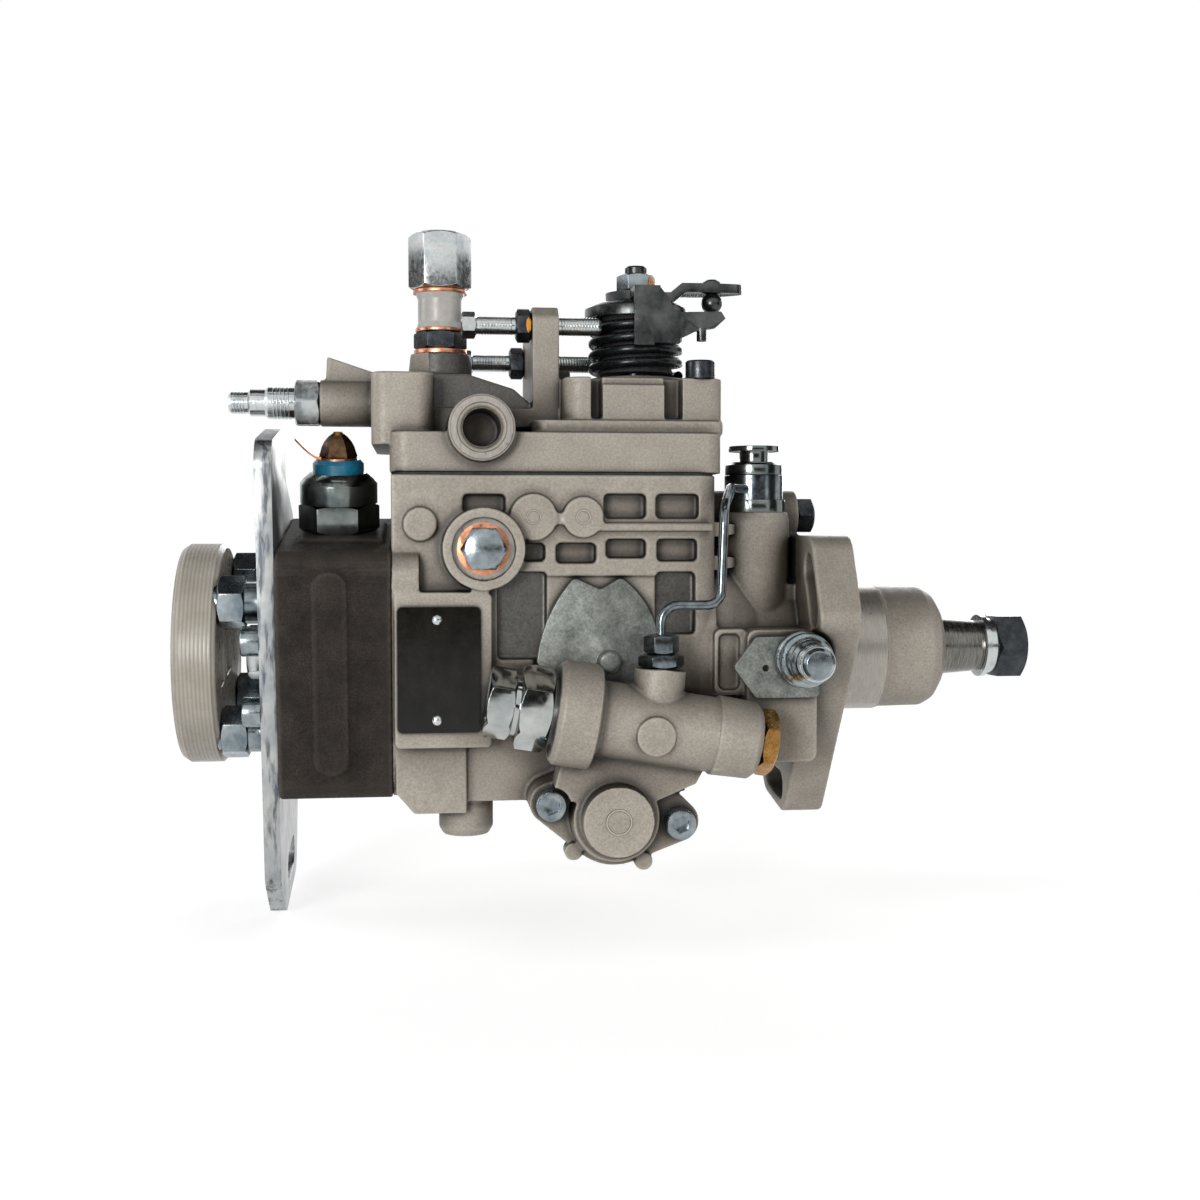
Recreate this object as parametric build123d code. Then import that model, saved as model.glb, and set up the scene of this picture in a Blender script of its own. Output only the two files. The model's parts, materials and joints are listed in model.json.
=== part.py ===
from build123d import *
import math
import os

# Rotary distributor injection pump, in millimetres.
# X runs along the drive shaft towards its nut, Z is up, and the origin is on the shaft axis
# at the mounting face of the flange. The named side is the one at -Y.

# ---------------------------------------------------------------- driving dimensions
HEAD_FACE_X = -153.5          # joint between housing and distributor head
HOUSING_END_X = -45.0         # drive end of the box-shaped part of the housing
HOUSING_HALF_WIDTH = 42.0
COVER_JOINT_Z = 61.0          # top face of the housing
GASKET_THICKNESS = 0.8
COVER_BASE_Z = COVER_JOINT_Z + GASKET_THICKNESS

FLANGE_THICKNESS = 14.0
SLOT_CIRCLE_R = 50.5          # mounting slots lie on this circle
SLOT_WIDTH = 10.5
SLOT_HALF_ANGLE = 9.0
LOBE_ANGLES = (27.0, 153.0, 278.0)
LOBE_R = 9.0
LOBE_HALF_ANGLE = 12.0
PILOT_R = 22.5
PILOT_LENGTH = 21.0
NOSE_R = 22.0
NOSE_END_X = 43.5

SHAFT_R = 10.0
YOKE_X = -84.0                # cam end of the drive shaft's yoke
YOKE_R = 15.0
YOKE_LENGTH = 17.0
TAPER_START_X = 46.0
TAPER_END_X = 61.0
SHAFT_END_X = 78.0
SHAFT_THREAD_R = 7.0
KEY_X = 49.0
KEY_LENGTH = 8.0
MAIN_BORE_R = 32.0
MAIN_BORE_END_X = -58.0
VANE_BORE_R = 29.0
VANE_BORE_END_X = -40.0
BUSH_R = 13.0

GEAR_MODULE = 1.5
DRIVE_TEETH = 39
GOVERNOR_TEETH = 25
GOVERNOR_Z = GEAR_MODULE * (DRIVE_TEETH + GOVERNOR_TEETH) / 2
GEAR_X = -66.0
GEAR_WIDTH = 6.0
GOVERNOR_SHAFT_R = 4.0
GOVERNOR_SHAFT_START_X = -128.0
GOVERNOR_SHAFT_END_X = -8.8
SLEEVE_X = -118.4
SLEEVE_R = 6.4
RUNNING_GAP = 0.05

RING_X = -90.0                # cam side of the roller ring
RING_WIDTH = 18.0
ROLLER_R = 6.0
CAM_LIFT = 2.0
CAM_SEAT_GAP = 0.3
PLUNGER_R = 6.0
PLUNGER_LENGTH = 80.0
COLLAR_R = 11.0
COLLAR_WIDTH = 9.0
LEVER_PIVOT = (-120.0, 0.0, 23.0)
COLLAR_X = LEVER_PIVOT[0] - COLLAR_WIDTH / 2
LEVER_BALL_Z = 9.5
LEVER_BALL_R = 2.8

TIMING_X = -81.0
TIMING_Z = -50.0
TIMING_BORE_R = 13.0
TIMING_FACE_Y = 45.0
TIMING_TILT = 9.2             # the timing cover leans by this angle about Y
TIMING_SCREW_REACH = 21.5
TIMING_LUG_THICKNESS = 5.5
COLD_AXIS_Y = -59.0
COLD_AXIS_Z = 31.0            # above the timing bore, in the cover's own axes
COLD_R = 12.2
COLD_THREAD_R = 8.0

HEAD_SIZE = 84.0
HEAD_END_X = -191.0
HEAD_TURN = 9.0               # the head group is turned by this angle about X
SOLENOID_X = -171.9
SOLENOID_SEAT_Z = 43.4        # above the shaft axis, in the head's own axes
HOLDER_CIRCLE_R = 31.5
BRACKET_THICKNESS = 5.5
BRACKET_TOP_Z = 78.0          # in the head's own axes, as the next two
BRACKET_FOOT_Z = -88.5
BRACKET_SLOT_Z = -77.0
BRACKET_SLOT = (28.0, 11.0)   # length and width

SIDE_PLUG = (-123.5, 36.6)    # X and Z of the round plug boss on the named side
RETURN_PORT = (-123.9, 76.2)  # X and Z of the return port in the cover
SUPPORT_BOSS = (-129.0, -25.0)     # X and Y of the boss that hangs below the housing
SUPPORT_BOSS_R = 9.2
SUPPORT_BOSS_END_Z = -60.5
FULL_LOAD_Y = -8.0
FULL_LOAD_Z = 86.4
FULL_LOAD_R = 5.4
OVERFLOW_X, OVERFLOW_Y = -136.7, -5.0
OVERFLOW_BORE_R = 5.0

THROTTLE_X = -67.0
THROTTLE_SHAFT_R = 5.0
COVER_TOP_Z = 94.0
STOP_SCREW_Z = 112.8
STOP_SCREW_Y = -17.0
IDLE_SCREW_Z = 104.0
IDLE_SCREW_Y = 20.5
SCREW_M6_R = 3.0
SCREW_HEAD_R = 5.0
SCREW_HEAD_H = 6.0

# widths across flats
SOCKET_FLATS = 5.0
STOP_SCREW_FLATS = 8.0
STOP_NUT_FLATS = 10.0
FULL_LOAD_NUT_FLATS = 15.0
OUTLET_FLATS = 16.0
HEAD_PLUG_FLATS = 17.0
SOLENOID_FLATS = 24.0
TERMINAL_FLATS = 8.0
OVERFLOW_FLATS = 19.0
OVERFLOW_FITTING_FLATS = 16.0
REGULATOR_FLATS = 17.0
PIPE_NUT_FLATS = 10.0
PIPE_SEAT_FLATS = 13.0
SIDE_PLUG_FLATS = 13.5
COLD_FITTING_FLATS = (24.0, 20.0)
COLD_PLUG_FLATS = 19.0
GOVERNOR_SHAFT_FLATS = 12.0
THROTTLE_NUT_FLATS = 12.0
SHAFT_NUT_FLATS = 22.0

PIPE_R = 1.6
PIPE_FOOT = (-67.0, -59.0)    # X and Y of the pipe's lower end
PIPE_ROUTE = [
    (*PIPE_FOOT, 6.0),
    (*PIPE_FOOT, 18.5),
    (-47.5, -59.0, 18.5),
    (-45.8, -56.0, 50.0),
    (-40.0, -38.0, 57.0),
    (-32.4, -25.2, 57.0),
]
PIPE_RADII = [5.5, 5.0, 8.0, 6.0]

REGULATOR_X = -27.5
REGULATOR_Y = -17.0
REGULATOR_SEAT_Z = 49.0
LOCK_BOLT_X = -18.0

TOUCH = 0.02                  # play between pieces that are screwed or pressed together
WIRE_SIDES = 6                # spring wire is drawn as a hexagon

os.makedirs("parts", exist_ok=True)


# ---------------------------------------------------------------- shared shapes
def turned(origin, direction, *stations):
    """Body of revolution through (distance, radius) stations along a direction."""
    first, last = stations[0][0], stations[-1][0]
    outline = [(0, first)] + [(radius, along) for along, radius in stations] + [(0, last)]
    profile = Plane.XZ * make_face(Polyline(*outline, close=True))
    return Plane(origin, z_dir=direction) * revolve(profile, Axis.Z)


def rod(origin, direction, radius, length):
    """Plain cylinder that starts at the origin and runs along the direction."""
    return turned(origin, direction, (0, radius), (length, radius))


def ring(origin, direction, inner, outer, length):
    """Plain tube."""
    return rod(origin, direction, outer, length) - rod(origin, direction, inner, length)


def block(x_span, y_span, z_span):
    """Rectangular body between two limits on each axis."""
    spans = (x_span, y_span, z_span)
    size = [high - low for low, high in spans]
    middle = [(high + low) / 2 for low, high in spans]
    return Pos(*middle) * Box(*size)


def slab(outline, axis_plane, start, end):
    """Closed outline of points, extruded from start to end along the plane's normal."""
    face = make_face(Polyline(*outline, close=True))
    return extrude(axis_plane.offset(start) * face, end - start)


def hexagon(origin, direction, flats, length, x_dir=None, bevel=0.9):
    """Hexagon bar with its corners bevelled at both ends."""
    place = Plane(origin, z_dir=direction) if x_dir is None else Plane(origin, x_dir=x_dir, z_dir=direction)
    corner = flats / math.sqrt(3)
    bar = extrude(RegularPolygon(flats / 2, 6, major_radius=False), length)
    ends = turned(
        (0, 0, 0), (0, 0, 1),
        (0, corner - 1.6 * bevel), (bevel, corner + 0.1),
        (length - bevel, corner + 0.1), (length, corner - 1.6 * bevel),
    )
    return place * (bar & ends)


def socket_screw(origin, direction, shank_length):
    """M6 socket head screw whose head stands on the origin and whose shank runs back from it."""
    head = turned(
        origin, direction,
        (0, SCREW_HEAD_R), (SCREW_HEAD_H - 0.5, SCREW_HEAD_R), (SCREW_HEAD_H, SCREW_HEAD_R - 0.5),
    )
    back = [-value for value in direction]
    shank = rod(origin, back, SCREW_M6_R, shank_length)
    top = Vector(*origin) + Vector(*direction) * (SCREW_HEAD_H - 3.0)
    socket = hexagon(tuple(top), direction, SOCKET_FLATS, 3.2, bevel=0.01)
    return head + shank - socket


def coil(origin, direction, mean_r, wire_r, pitch, height):
    """Helical spring, its axis starting at the origin."""
    path = Helix(pitch, height, mean_r)
    section = Plane(origin=path @ 0, z_dir=path % 0) * RegularPolygon(wire_r, WIRE_SIDES)
    return Plane(origin, z_dir=direction) * sweep(section, path, is_frenet=True)


def in_head(shape):
    """Turns a shape that is drawn upright into the head group's turned position."""
    return Rot(HEAD_TURN, 0, 0) * shape


def on_timing(shape):
    """Moves a shape from the timing cover's own axes to its leaning place on the housing."""
    return Pos(TIMING_X, 0, TIMING_Z) * Rot(0, TIMING_TILT, 0) * shape


def save(name, shape):
    """Writes one sub-part."""
    export_step(shape, f"parts/{name}.step")


def group(*shapes):
    """Several separate solids that share one node."""
    solids = [solid for shape in shapes for solid in shape.solids()]
    return Compound(children=solids)


# ---------------------------------------------------------------- pump housing
def flange_outline():
    """Three rounded lobes joined by tangent lines, in the flange's own plane."""
    rounds = []
    for lobe in LOBE_ANGLES:
        for side in (-LOBE_HALF_ANGLE, LOBE_HALF_ANGLE):
            angle = math.radians(lobe + side)
            middle = (SLOT_CIRCLE_R * math.cos(angle), SLOT_CIRCLE_R * math.sin(angle))
            rounds += (Pos(*middle) * Circle(LOBE_R)).edges()
    return make_hull(rounds)


def flange_slot(angle):
    """Curved mounting slot on the slot circle, drawn in the flange's plane."""
    sweep_back = Rot(0, 0, angle - SLOT_HALF_ANGLE)
    arc = CenterArc((0, 0), SLOT_CIRCLE_R, 0, 2 * SLOT_HALF_ANGLE)
    return sweep_back * SlotArc(arc, SLOT_WIDTH)


def housing_flange():
    """Mounting flange with its pilot spigot and shaft nose."""
    across = Plane(origin=(-FLANGE_THICKNESS, 0, 0), x_dir=(0, 1, 0), z_dir=(1, 0, 0))
    plate = extrude(across * flange_outline(), FLANGE_THICKNESS)
    for angle in LOBE_ANGLES:
        plate -= extrude(across * flange_slot(angle), FLANGE_THICKNESS)
    nose = turned(
        (0, 0, 0), (1, 0, 0),
        (-FLANGE_THICKNESS, PILOT_R), (PILOT_LENGTH, PILOT_R), (PILOT_LENGTH, NOSE_R),
        (NOSE_END_X - 6, NOSE_R - 0.3), (NOSE_END_X - 2.5, NOSE_R - 2.2), (NOSE_END_X, NOSE_R - 6),
    )
    return plate + nose


def housing_outside():
    """Cast outside of the housing, still solid."""
    length = HOUSING_END_X - HEAD_FACE_X
    middle_x = (HOUSING_END_X + HEAD_FACE_X) / 2
    plan = Pos(middle_x, 0) * Rectangle(length, 2 * HOUSING_HALF_WIDTH)
    plan = fillet(plan.vertices().group_by(Axis.X)[-1], 8)
    upper = extrude(plan, COVER_JOINT_Z)
    barrel = rod((HEAD_FACE_X, 0, 0), (1, 0, 0), HOUSING_HALF_WIDTH, length)
    rear_face = in_head(block((HEAD_FACE_X, HEAD_FACE_X + 9), (-42, 42), (-42, 42)))
    rear_face = fillet(rear_face.edges().filter_by(Axis.X), 9)
    neck = turned(
        (0, 0, 0), (1, 0, 0),
        (HOUSING_END_X - 1, 40), (HOUSING_END_X + 6, 38), (HOUSING_END_X + 16, 33), (-FLANGE_THICKNESS, 31),
    )
    timing = rod((TIMING_X, -TIMING_FACE_Y, TIMING_Z), (0, 1, 0), 17.5, 2 * TIMING_FACE_Y)
    timing_pads = on_timing(timing_pad(-TIMING_FACE_Y, -TIMING_FACE_Y + 14))
    timing_pads += on_timing(timing_pad(TIMING_FACE_Y - 14, TIMING_FACE_Y))
    web = block((TIMING_X - 26, TIMING_X + 26), (-36, 36), (TIMING_Z + 4, -20))
    return upper + barrel + rear_face + neck + timing + timing_pads + web


def timing_pad(y_low, y_high):
    """Seat of a timing cover: a round middle and two screw lugs, in the cover's own axes."""
    middle = Circle(17.5).edges()
    lugs = [edge for side in (-1, 1) for edge in (Pos(side * TIMING_SCREW_REACH, 0) * Circle(6.8)).edges()]
    across = Plane(origin=(0, y_high, 0), x_dir=(1, 0, 0), z_dir=(0, -1, 0))
    return extrude(across * make_hull(middle + lugs), y_high - y_low)


def housing_bosses():
    """Bosses, pads and ribs that stand on the outside."""
    near = -HOUSING_HALF_WIDTH
    out = (0, -1, 0)
    plug_x, plug_z = SIDE_PLUG
    shape = rod((plug_x, near + 2, plug_z), out, 13.5, 7.5)
    for side in (-1, 1):
        face = side * HOUSING_HALF_WIDTH
        for x, z, radius, height in SIDE_PADS:
            shape += rod((x, face - side * 2, z), (0, side, 0), radius, height + 2)
        proud = sorted((face - side, face + side * 1.6))
        shape += block((-102, -94), proud, (44.5, 48.5))
        shape += block((-85, HOUSING_END_X - 2), proud, (42.4, 45.2))
    plate_boss = block((-152.6, -121), (near - 4.5, near + 4), (-28.5, 22.6))
    shape += fillet(plate_boss.edges().filter_by(Axis.Y), 2)
    shape += support_boss()
    shape += turned((REGULATOR_X, REGULATOR_Y, 12), (0, 0, 1), (0, 12.5), (34, 12.5), (37, 11.8))
    shape += rod((HOUSING_END_X - 4, 0, GOVERNOR_Z), (1, 0, 0), 9.0, 40)
    shape += block((HOUSING_END_X - 2, -10), (-9, 9), (25, GOVERNOR_Z))
    lock = block((-36, -12), (-47, -20), (-35, 9.5))
    shape += fillet(lock.edges().filter_by(Axis.Y), 3)
    lug = block((-46.5, -35), (-43.5, -30), (-12.5, 9.7))
    lug_pocket = block((-44.9, -37.8), (-44, -41.9), (-10.8, 8.0))
    shape += fillet(lug.edges().filter_by(Axis.Y), 2.4)
    shape -= fillet(lug_pocket.edges().filter_by(Axis.Y), 2.0)
    for side in (-1, 1):
        shape += block((HOUSING_END_X - 3, -10), (side * 22 - 3, side * 22 + 3), (-26, 24))
    return shape


# x, z, radius and height of each round pad
SIDE_PADS = [(-144.1, 44.7, 5.6, 1.5), (-107.1, 47.0, 7.8, 2.0), (-90.6, 47.0, 6.8, 2.0)]


def support_boss():
    """Hanging boss of the rear support, with the webs that tie it to the head flange and the belly."""
    x, y = SUPPORT_BOSS
    top_z = -30.0
    length = top_z - SUPPORT_BOSS_END_Z
    boss = turned(
        (x, y, top_z), (0, 0, -1),
        (0, SUPPORT_BOSS_R), (length - 2.5, SUPPORT_BOSS_R), (length, SUPPORT_BOSS_R - 1.6),
    )
    foot_z = SUPPORT_BOSS_END_Z + 9
    left = slab([(-152.5, -24), (-152.5, foot_z + 7), (-146.5, foot_z), (x, foot_z), (x, -24)], Plane.XZ, 22, 38)
    right = slab([(x, -24), (x, foot_z + 3.5), (-107, foot_z + 3.5), (-104, -38), (-104, -24)], Plane.XZ, 22, 36)
    return boss + left + right


def housing_pockets():
    """Recesses cast into both sides between the ribs."""
    near = -HOUSING_HALF_WIDTH
    depth = 4.0
    spans = [
        (-130.1, -116.3, 48.4, 54.5), (-83.6, -69.5, 46.6, 54.7), (-66.1, -51.6, 46.6, 54.7),
        (-110.8, -103.2, 32.5, 38.5), (-99.5, -86.2, 31.8, 38.5), (-82.9, -69.5, 33.5, 39.8),
        (-65.8, -52.2, 32.4, 39.8), (-66.1, -52.8, 8.0, 28.8), (-119.0, -102.6, 0.0, 29.0),
    ]
    cuts = []
    for side in (-1, 1):
        y_span = sorted((side * (HOUSING_HALF_WIDTH + 1), side * (HOUSING_HALF_WIDTH - depth)))
        cuts += [block((x0, x1), y_span, (z0, z1)) for x0, x1, z0, z1 in spans]
    plate_seat = block((-107, -64.5), (near - 1, near + 1.2), (-12, 27.5))
    return [fillet(cut.edges().filter_by(Axis.Y), 1.5) for cut in cuts] + [plate_seat]


def housing_hollows():
    """Bores and chambers inside the housing."""
    along = (1, 0, 0)
    start = HEAD_FACE_X
    cuts = [
        rod((start, 0, 0), along, MAIN_BORE_R, MAIN_BORE_END_X - start),
        rod((MAIN_BORE_END_X, 0, 0), along, VANE_BORE_R, VANE_BORE_END_X - MAIN_BORE_END_X),
        rod((VANE_BORE_END_X, 0, 0), along, BUSH_R, 74),
        rod((VANE_BORE_END_X, 0, 0), along, SHAFT_R + 1.0, NOSE_END_X + 60),
        rod((NOSE_END_X - 8, 0, 0), along, 15.0, 9),
        block((-140, MAIN_BORE_END_X), (-24, 24), (20, COVER_JOINT_Z)),
        rod((-60, 0, GOVERNOR_Z), along, GOVERNOR_SHAFT_R + TOUCH, 60),
        rod((TIMING_X, -TIMING_FACE_Y, TIMING_Z), (0, 1, 0), TIMING_BORE_R, 2 * TIMING_FACE_Y),
        block((TIMING_X - 7, TIMING_X + 7), (-9, 15), (TIMING_Z + 11, -27)),
        rod((LEVER_PIVOT[0], -29, LEVER_PIVOT[2]), (0, 1, 0), 3 + RUNNING_GAP, 58),
        turned((SIDE_PLUG[0], -48, SIDE_PLUG[1]), (0, 1, 0), (0, 10.2), (5.5, 10.2), (5.5, 7.0), (16, 7.0)),
        rod((REGULATOR_X, REGULATOR_Y, REGULATOR_SEAT_Z), (0, 0, -1), 6.5 + TOUCH, 19),
        rod((REGULATOR_X, REGULATOR_Y, REGULATOR_SEAT_Z), (0, 0, 1), 11.9, 12),
        rod((LOCK_BOLT_X, -48, 0), (0, 1, 0), 5.0 + TOUCH, 24),
        rod((LOCK_BOLT_X, -47, 0), (0, -1, 0), 10.2, 14),
        rod((*SUPPORT_BOSS, SUPPORT_BOSS_END_Z - 0.5), (0, 0, 1), 3.4, 12),
    ]
    for y_side in (-1, 1):
        for x_side in (-1, 1):
            screw = (x_side * TIMING_SCREW_REACH, y_side * (TIMING_FACE_Y + 0.1), 0)
            cuts.append(on_timing(rod(screw, (0, -y_side, 0), SCREW_M6_R + TOUCH, 12)))
    for x, y, _ in COVER_SCREWS:
        cuts.append(rod((x, y, COVER_JOINT_Z), (0, 0, -1), SCREW_M6_R + TOUCH, 14))
    return cuts


COVER_SCREWS = [
    (-49.5, -32.0, COVER_TOP_Z), (-49.5, 32.0, COVER_TOP_Z),
    (-147.0, -28.5, 79.0), (-147.0, 28.5, 79.0),
]


def pump_housing():
    """Cast housing with flange, bearing nose, chambers and outside ribs."""
    shape = housing_outside() + housing_flange() + housing_bosses()
    for cut in housing_pockets() + housing_hollows():
        shape -= cut
    return shape


# ---------------------------------------------------------------- governor cover
def cover_plan(grow, x_low, x_high, y_half, corner):
    """Plan of a cover storey with rounded drive-end corners."""
    length = x_high - x_low + grow
    plan = Pos((x_low + x_high + grow) / 2, 0) * Rectangle(length, 2 * (y_half + grow))
    return fillet(plan.vertices(), corner)


def cover_outside():
    """Storeys, bosses and the screw fin of the cover."""
    base = extrude(Pos(0, 0, COVER_BASE_Z) * cover_plan(0, HEAD_FACE_X - 0.5, -43, 40, 6), 13.4)
    ledge = extrude(Pos(0, 0, 75) * cover_plan(1.2, -106.5, -43, 36, 5), 4.4)
    upper = extrude(Pos(0, 0, 79) * cover_plan(0, -96, -42, 36, 6), COVER_TOP_Z - 79)
    for y_side in (-1, 1):
        for x_low, x_high in ((-87.0, -83.4), (-62.4, -56.2)):
            upper -= block((x_low, x_high), (y_side * 36 - 7, y_side * 36 + 7), (80, 95))
        upper -= block((-83.4, -62.4), (y_side * 36 - 1.8, y_side * 36 + 1.8), (91.6, 95))
    seat = turned((THROTTLE_X, 0, COVER_TOP_Z - 2), (0, 0, 1), (0, 17.5), (4.5, 17.0))
    left = fillet(block((-160, -139.5), (-36, 36), (71, 95)).edges().filter_by(Axis.Z), 5)
    neck = block((-141, -94), (-24, 26), (74, 84))
    saddle = slab([(-141, 84), (-141, 96), (-128, 96), (-112, 91), (-104, 84)], Plane.XZ, -20, 20)
    return base + ledge + upper + seat + left + neck + saddle


def cover_bosses():
    """Ports, screw boss and fin."""
    shape = rod((RETURN_PORT[0], -20, RETURN_PORT[1]), (0, -1, 0), 11.0, 25)
    shape += turned((OVERFLOW_X, OVERFLOW_Y, 84), (0, 0, 1), (0, 12), (14, 11), (19.8, 10.4))
    shape += rod((-156, FULL_LOAD_Y, FULL_LOAD_Z), (-1, 0, 0), 8.0, 22)
    wing = [(-176, 92), (-175.5, 102.2), (-158, 96.5), (-158, 92)]
    shape += slab(wing, Plane.XZ, 5, 11)
    fin = slab([(-24, 77), (27, 77), (27, 110), (20, 119), (-20, 119), (-24, 115)], Plane.YZ, -105.8, -96.7)
    shape += fillet(fin.edges().filter_by(Axis.X), 3)
    shape += block((-97, -90), (6, 12), (79, 100))
    return shape


def governor_cover():
    """Cast cover over the governor, with the throttle shaft bore in its roof."""
    shape = cover_outside() + cover_bosses()
    cuts = [
        block((-134, -50), (-24, 24), (COVER_BASE_Z - 1, 77.5)),
        rod((THROTTLE_X, 0, 70), (0, 0, 1), THROTTLE_SHAFT_R + RUNNING_GAP, 40),
        turned((RETURN_PORT[0], -46, RETURN_PORT[1]), (0, 1, 0), (0, 8.2), (2.2, 6.4), (20, 6.4)),
        rod((OVERFLOW_X, OVERFLOW_Y, 105), (0, 0, -1), 6.0 + TOUCH, 20),
        rod((-179, FULL_LOAD_Y, FULL_LOAD_Z), (1, 0, 0), FULL_LOAD_R + TOUCH, 34),
        rod((-96, STOP_SCREW_Y, STOP_SCREW_Z), (-1, 0, 0), SCREW_M6_R + TOUCH, 12),
        rod((-96, IDLE_SCREW_Y, IDLE_SCREW_Z), (-1, 0, 0), SCREW_M6_R + TOUCH, 12),
    ]
    for x, y, seat_z in COVER_SCREWS:
        cuts.append(rod((x, y, seat_z), (0, 0, -1), SCREW_M6_R + 0.2, 60))
        cuts.append(rod((x, y, seat_z), (0, 0, 1), SCREW_HEAD_R + 1.0, 20))
    for cut in cuts:
        shape -= cut
    return shape


def cover_gasket():
    """Flat gasket between housing and cover, open over the governor chamber."""
    plan = cover_plan(0, HEAD_FACE_X + 0.5, HOUSING_END_X - 0.5, 39.5, 6)
    sheet = extrude(Pos(0, 0, COVER_JOINT_Z) * plan, GASKET_THICKNESS)
    sheet -= block((-134, MAIN_BORE_END_X), (-24, 24), (COVER_JOINT_Z - 1, COVER_BASE_Z + 1))
    for x, y, _ in COVER_SCREWS:
        sheet -= rod((x, y, COVER_JOINT_Z - 1), (0, 0, 1), SCREW_M6_R + 0.2, 3)
    return sheet


# ---------------------------------------------------------------- distributor head
def holder_places():
    """Centres of the four outlets on the head's end, as (y, z)."""
    for quarter in range(4):
        angle = math.radians(45 + 90 * quarter)
        yield HOLDER_CIRCLE_R * math.cos(angle), HOLDER_CIRCLE_R * math.sin(angle)


HEAD_SCREWS = [(-35.0, 12.0), (-35.0, -12.0), (35.0, 12.0), (35.0, -12.0)]


def distributor_head():
    """Square steel head with the plunger barrel, outlet bores and shut-off seat."""
    half = HEAD_SIZE / 2
    body = block((HEAD_END_X, HEAD_FACE_X), (-half, half), (-half, half))
    body = fillet(body.edges().filter_by(Axis.X), 7)
    body += block((HEAD_END_X + 7, HEAD_FACE_X - 3), (-20, 20), (half - 1, half + 1.4))
    body += fillet(block((-179, -168), (-half - 0.8, -half + 1), (-32, 36)).edges().filter_by(Axis.Y), 5)
    body += rod((HEAD_FACE_X, 0, 0), (1, 0, 0), MAIN_BORE_R - TOUCH, 7)
    body += rod((HEAD_FACE_X, 0, 0), (1, 0, 0), 13.0, 20)
    bores = [
        rod((HEAD_END_X, 0, 0), (1, 0, 0), PLUNGER_R + RUNNING_GAP, 60),
        rod((HEAD_END_X, 0, 0), (1, 0, 0), 8 + TOUCH, 4),
        rod((SOLENOID_X, 0, 25), (0, 0, 1), 8 + TOUCH, 22),
        rod((SOLENOID_X, 0, 0), (0, 0, 1), 3.0, 30),
    ]
    bores += [rod((HEAD_END_X, y, z), (1, 0, 0), 7 + TOUCH, 14) for y, z in holder_places()]
    bores += [rod((HEAD_END_X, y, z), (1, 0, 0), SCREW_M6_R + TOUCH, 16) for y, z in HEAD_SCREWS]
    for bore in bores:
        body -= bore
    return in_head(body)


def delivery_valve_holders():
    """Four outlet holders: shank, hexagon and threaded cone end."""
    solids = []
    for y, z in holder_places():
        shank = turned(
            (HEAD_END_X + 13.5, y, z), (-1, 0, 0),
            (0, 7), (21, 7), (24.5, 7), (24.5, 6), (43.5, 6), (45, 4.6),
        )
        nut = hexagon((-201.8, y, z), (-1, 0, 0), OUTLET_FLATS, 8.8, x_dir=(0, 0, 1))
        solids.append(in_head(shank + nut - rod((-224, y, z), (1, 0, 0), 1.6, 30)))
    return group(*solids)


def head_plug():
    """Central plug of the head, a hexagon with a threaded shank."""
    shank = rod((HEAD_END_X + 3.8, 0, 0), (-1, 0, 0), 8, 11)
    return in_head(shank + hexagon((-197.5, 0, 0), (-1, 0, 0), HEAD_PLUG_FLATS, 6.5, x_dir=(0, 0, 1)))


def outlet_cap():
    """Round transport cap pushed over the outlets, with concentric ribs and a window."""
    cap = turned(
        (-210.8, 0, 0), (-1, 0, 0),
        (0, 36.5), (1.5, 38), (12, 38), (14.2, 36.5),
    )
    for radius in (34, 29.5, 25, 20.5):
        cap -= ring((-223.8, 0, 0), (-1, 0, 0), radius - 1, radius, 2)
    for y, z in holder_places():
        cap -= rod((-210, y, z), (-1, 0, 0), 6.3, 12.6)
    window = block((-226, -210), (-22, -12), (-7, 7))
    return in_head(cap - window - block((-226, -210), (-6, 6), (-7, 7)))


def rear_bracket():
    """Thick support plate behind the head, with rounded corners and an adjusting slot."""
    outline = [
        (-39, BRACKET_FOOT_Z + 18), (-39, BRACKET_TOP_Z), (8, BRACKET_TOP_Z), (14, 58), (42, 42), (44, -44),
        (22, BRACKET_FOOT_Z), (-22, BRACKET_FOOT_Z),
    ]
    face = make_face(Polyline(*outline, close=True))
    face = fillet(face.vertices(), 9)
    face -= Pos(0, BRACKET_SLOT_Z) * SlotOverall(*BRACKET_SLOT)
    face -= Circle(10.5)
    for y, z in holder_places():
        face -= Pos(y, z) * Circle(9.2)
    for y, z in HEAD_SCREWS:
        face -= Pos(y, z) * Circle(SCREW_M6_R + 0.2)
    across = Plane(origin=(HEAD_END_X - BRACKET_THICKNESS, 0, 0), x_dir=(0, 1, 0), z_dir=(1, 0, 0))
    plate = extrude(across * face, BRACKET_THICKNESS)
    return in_head(plate)


# ---------------------------------------------------------------- shut-off solenoid
def solenoid_body():
    """Solenoid case: thread, hexagon and crimped round top, with the armature bore below."""
    place = (SOLENOID_X, 0, SOLENOID_SEAT_Z)
    crimp_z = 9.6
    case = hexagon(place, (0, 0, 1), SOLENOID_FLATS, crimp_z - 0.2, x_dir=(1, 0, 0))
    case += turned(
        place, (0, 0, 1),
        (-17, 8), (1, 8), (1, 10), (crimp_z, 12), (crimp_z, 13.2), (16.4, 13.2), (18.2, 11.8), (20, 9.6),
    )
    case -= rod((SOLENOID_X, 0, 26), (0, 0, 1), 4.6, 24)
    return in_head(case)


def solenoid_insulator():
    """Blue insulating ring on top of the solenoid."""
    return in_head(turned((SOLENOID_X, 0, 63.4), (0, 0, 1), (0, 8.7), (3.2, 8.7), (4.6, 7.4)))


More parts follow.
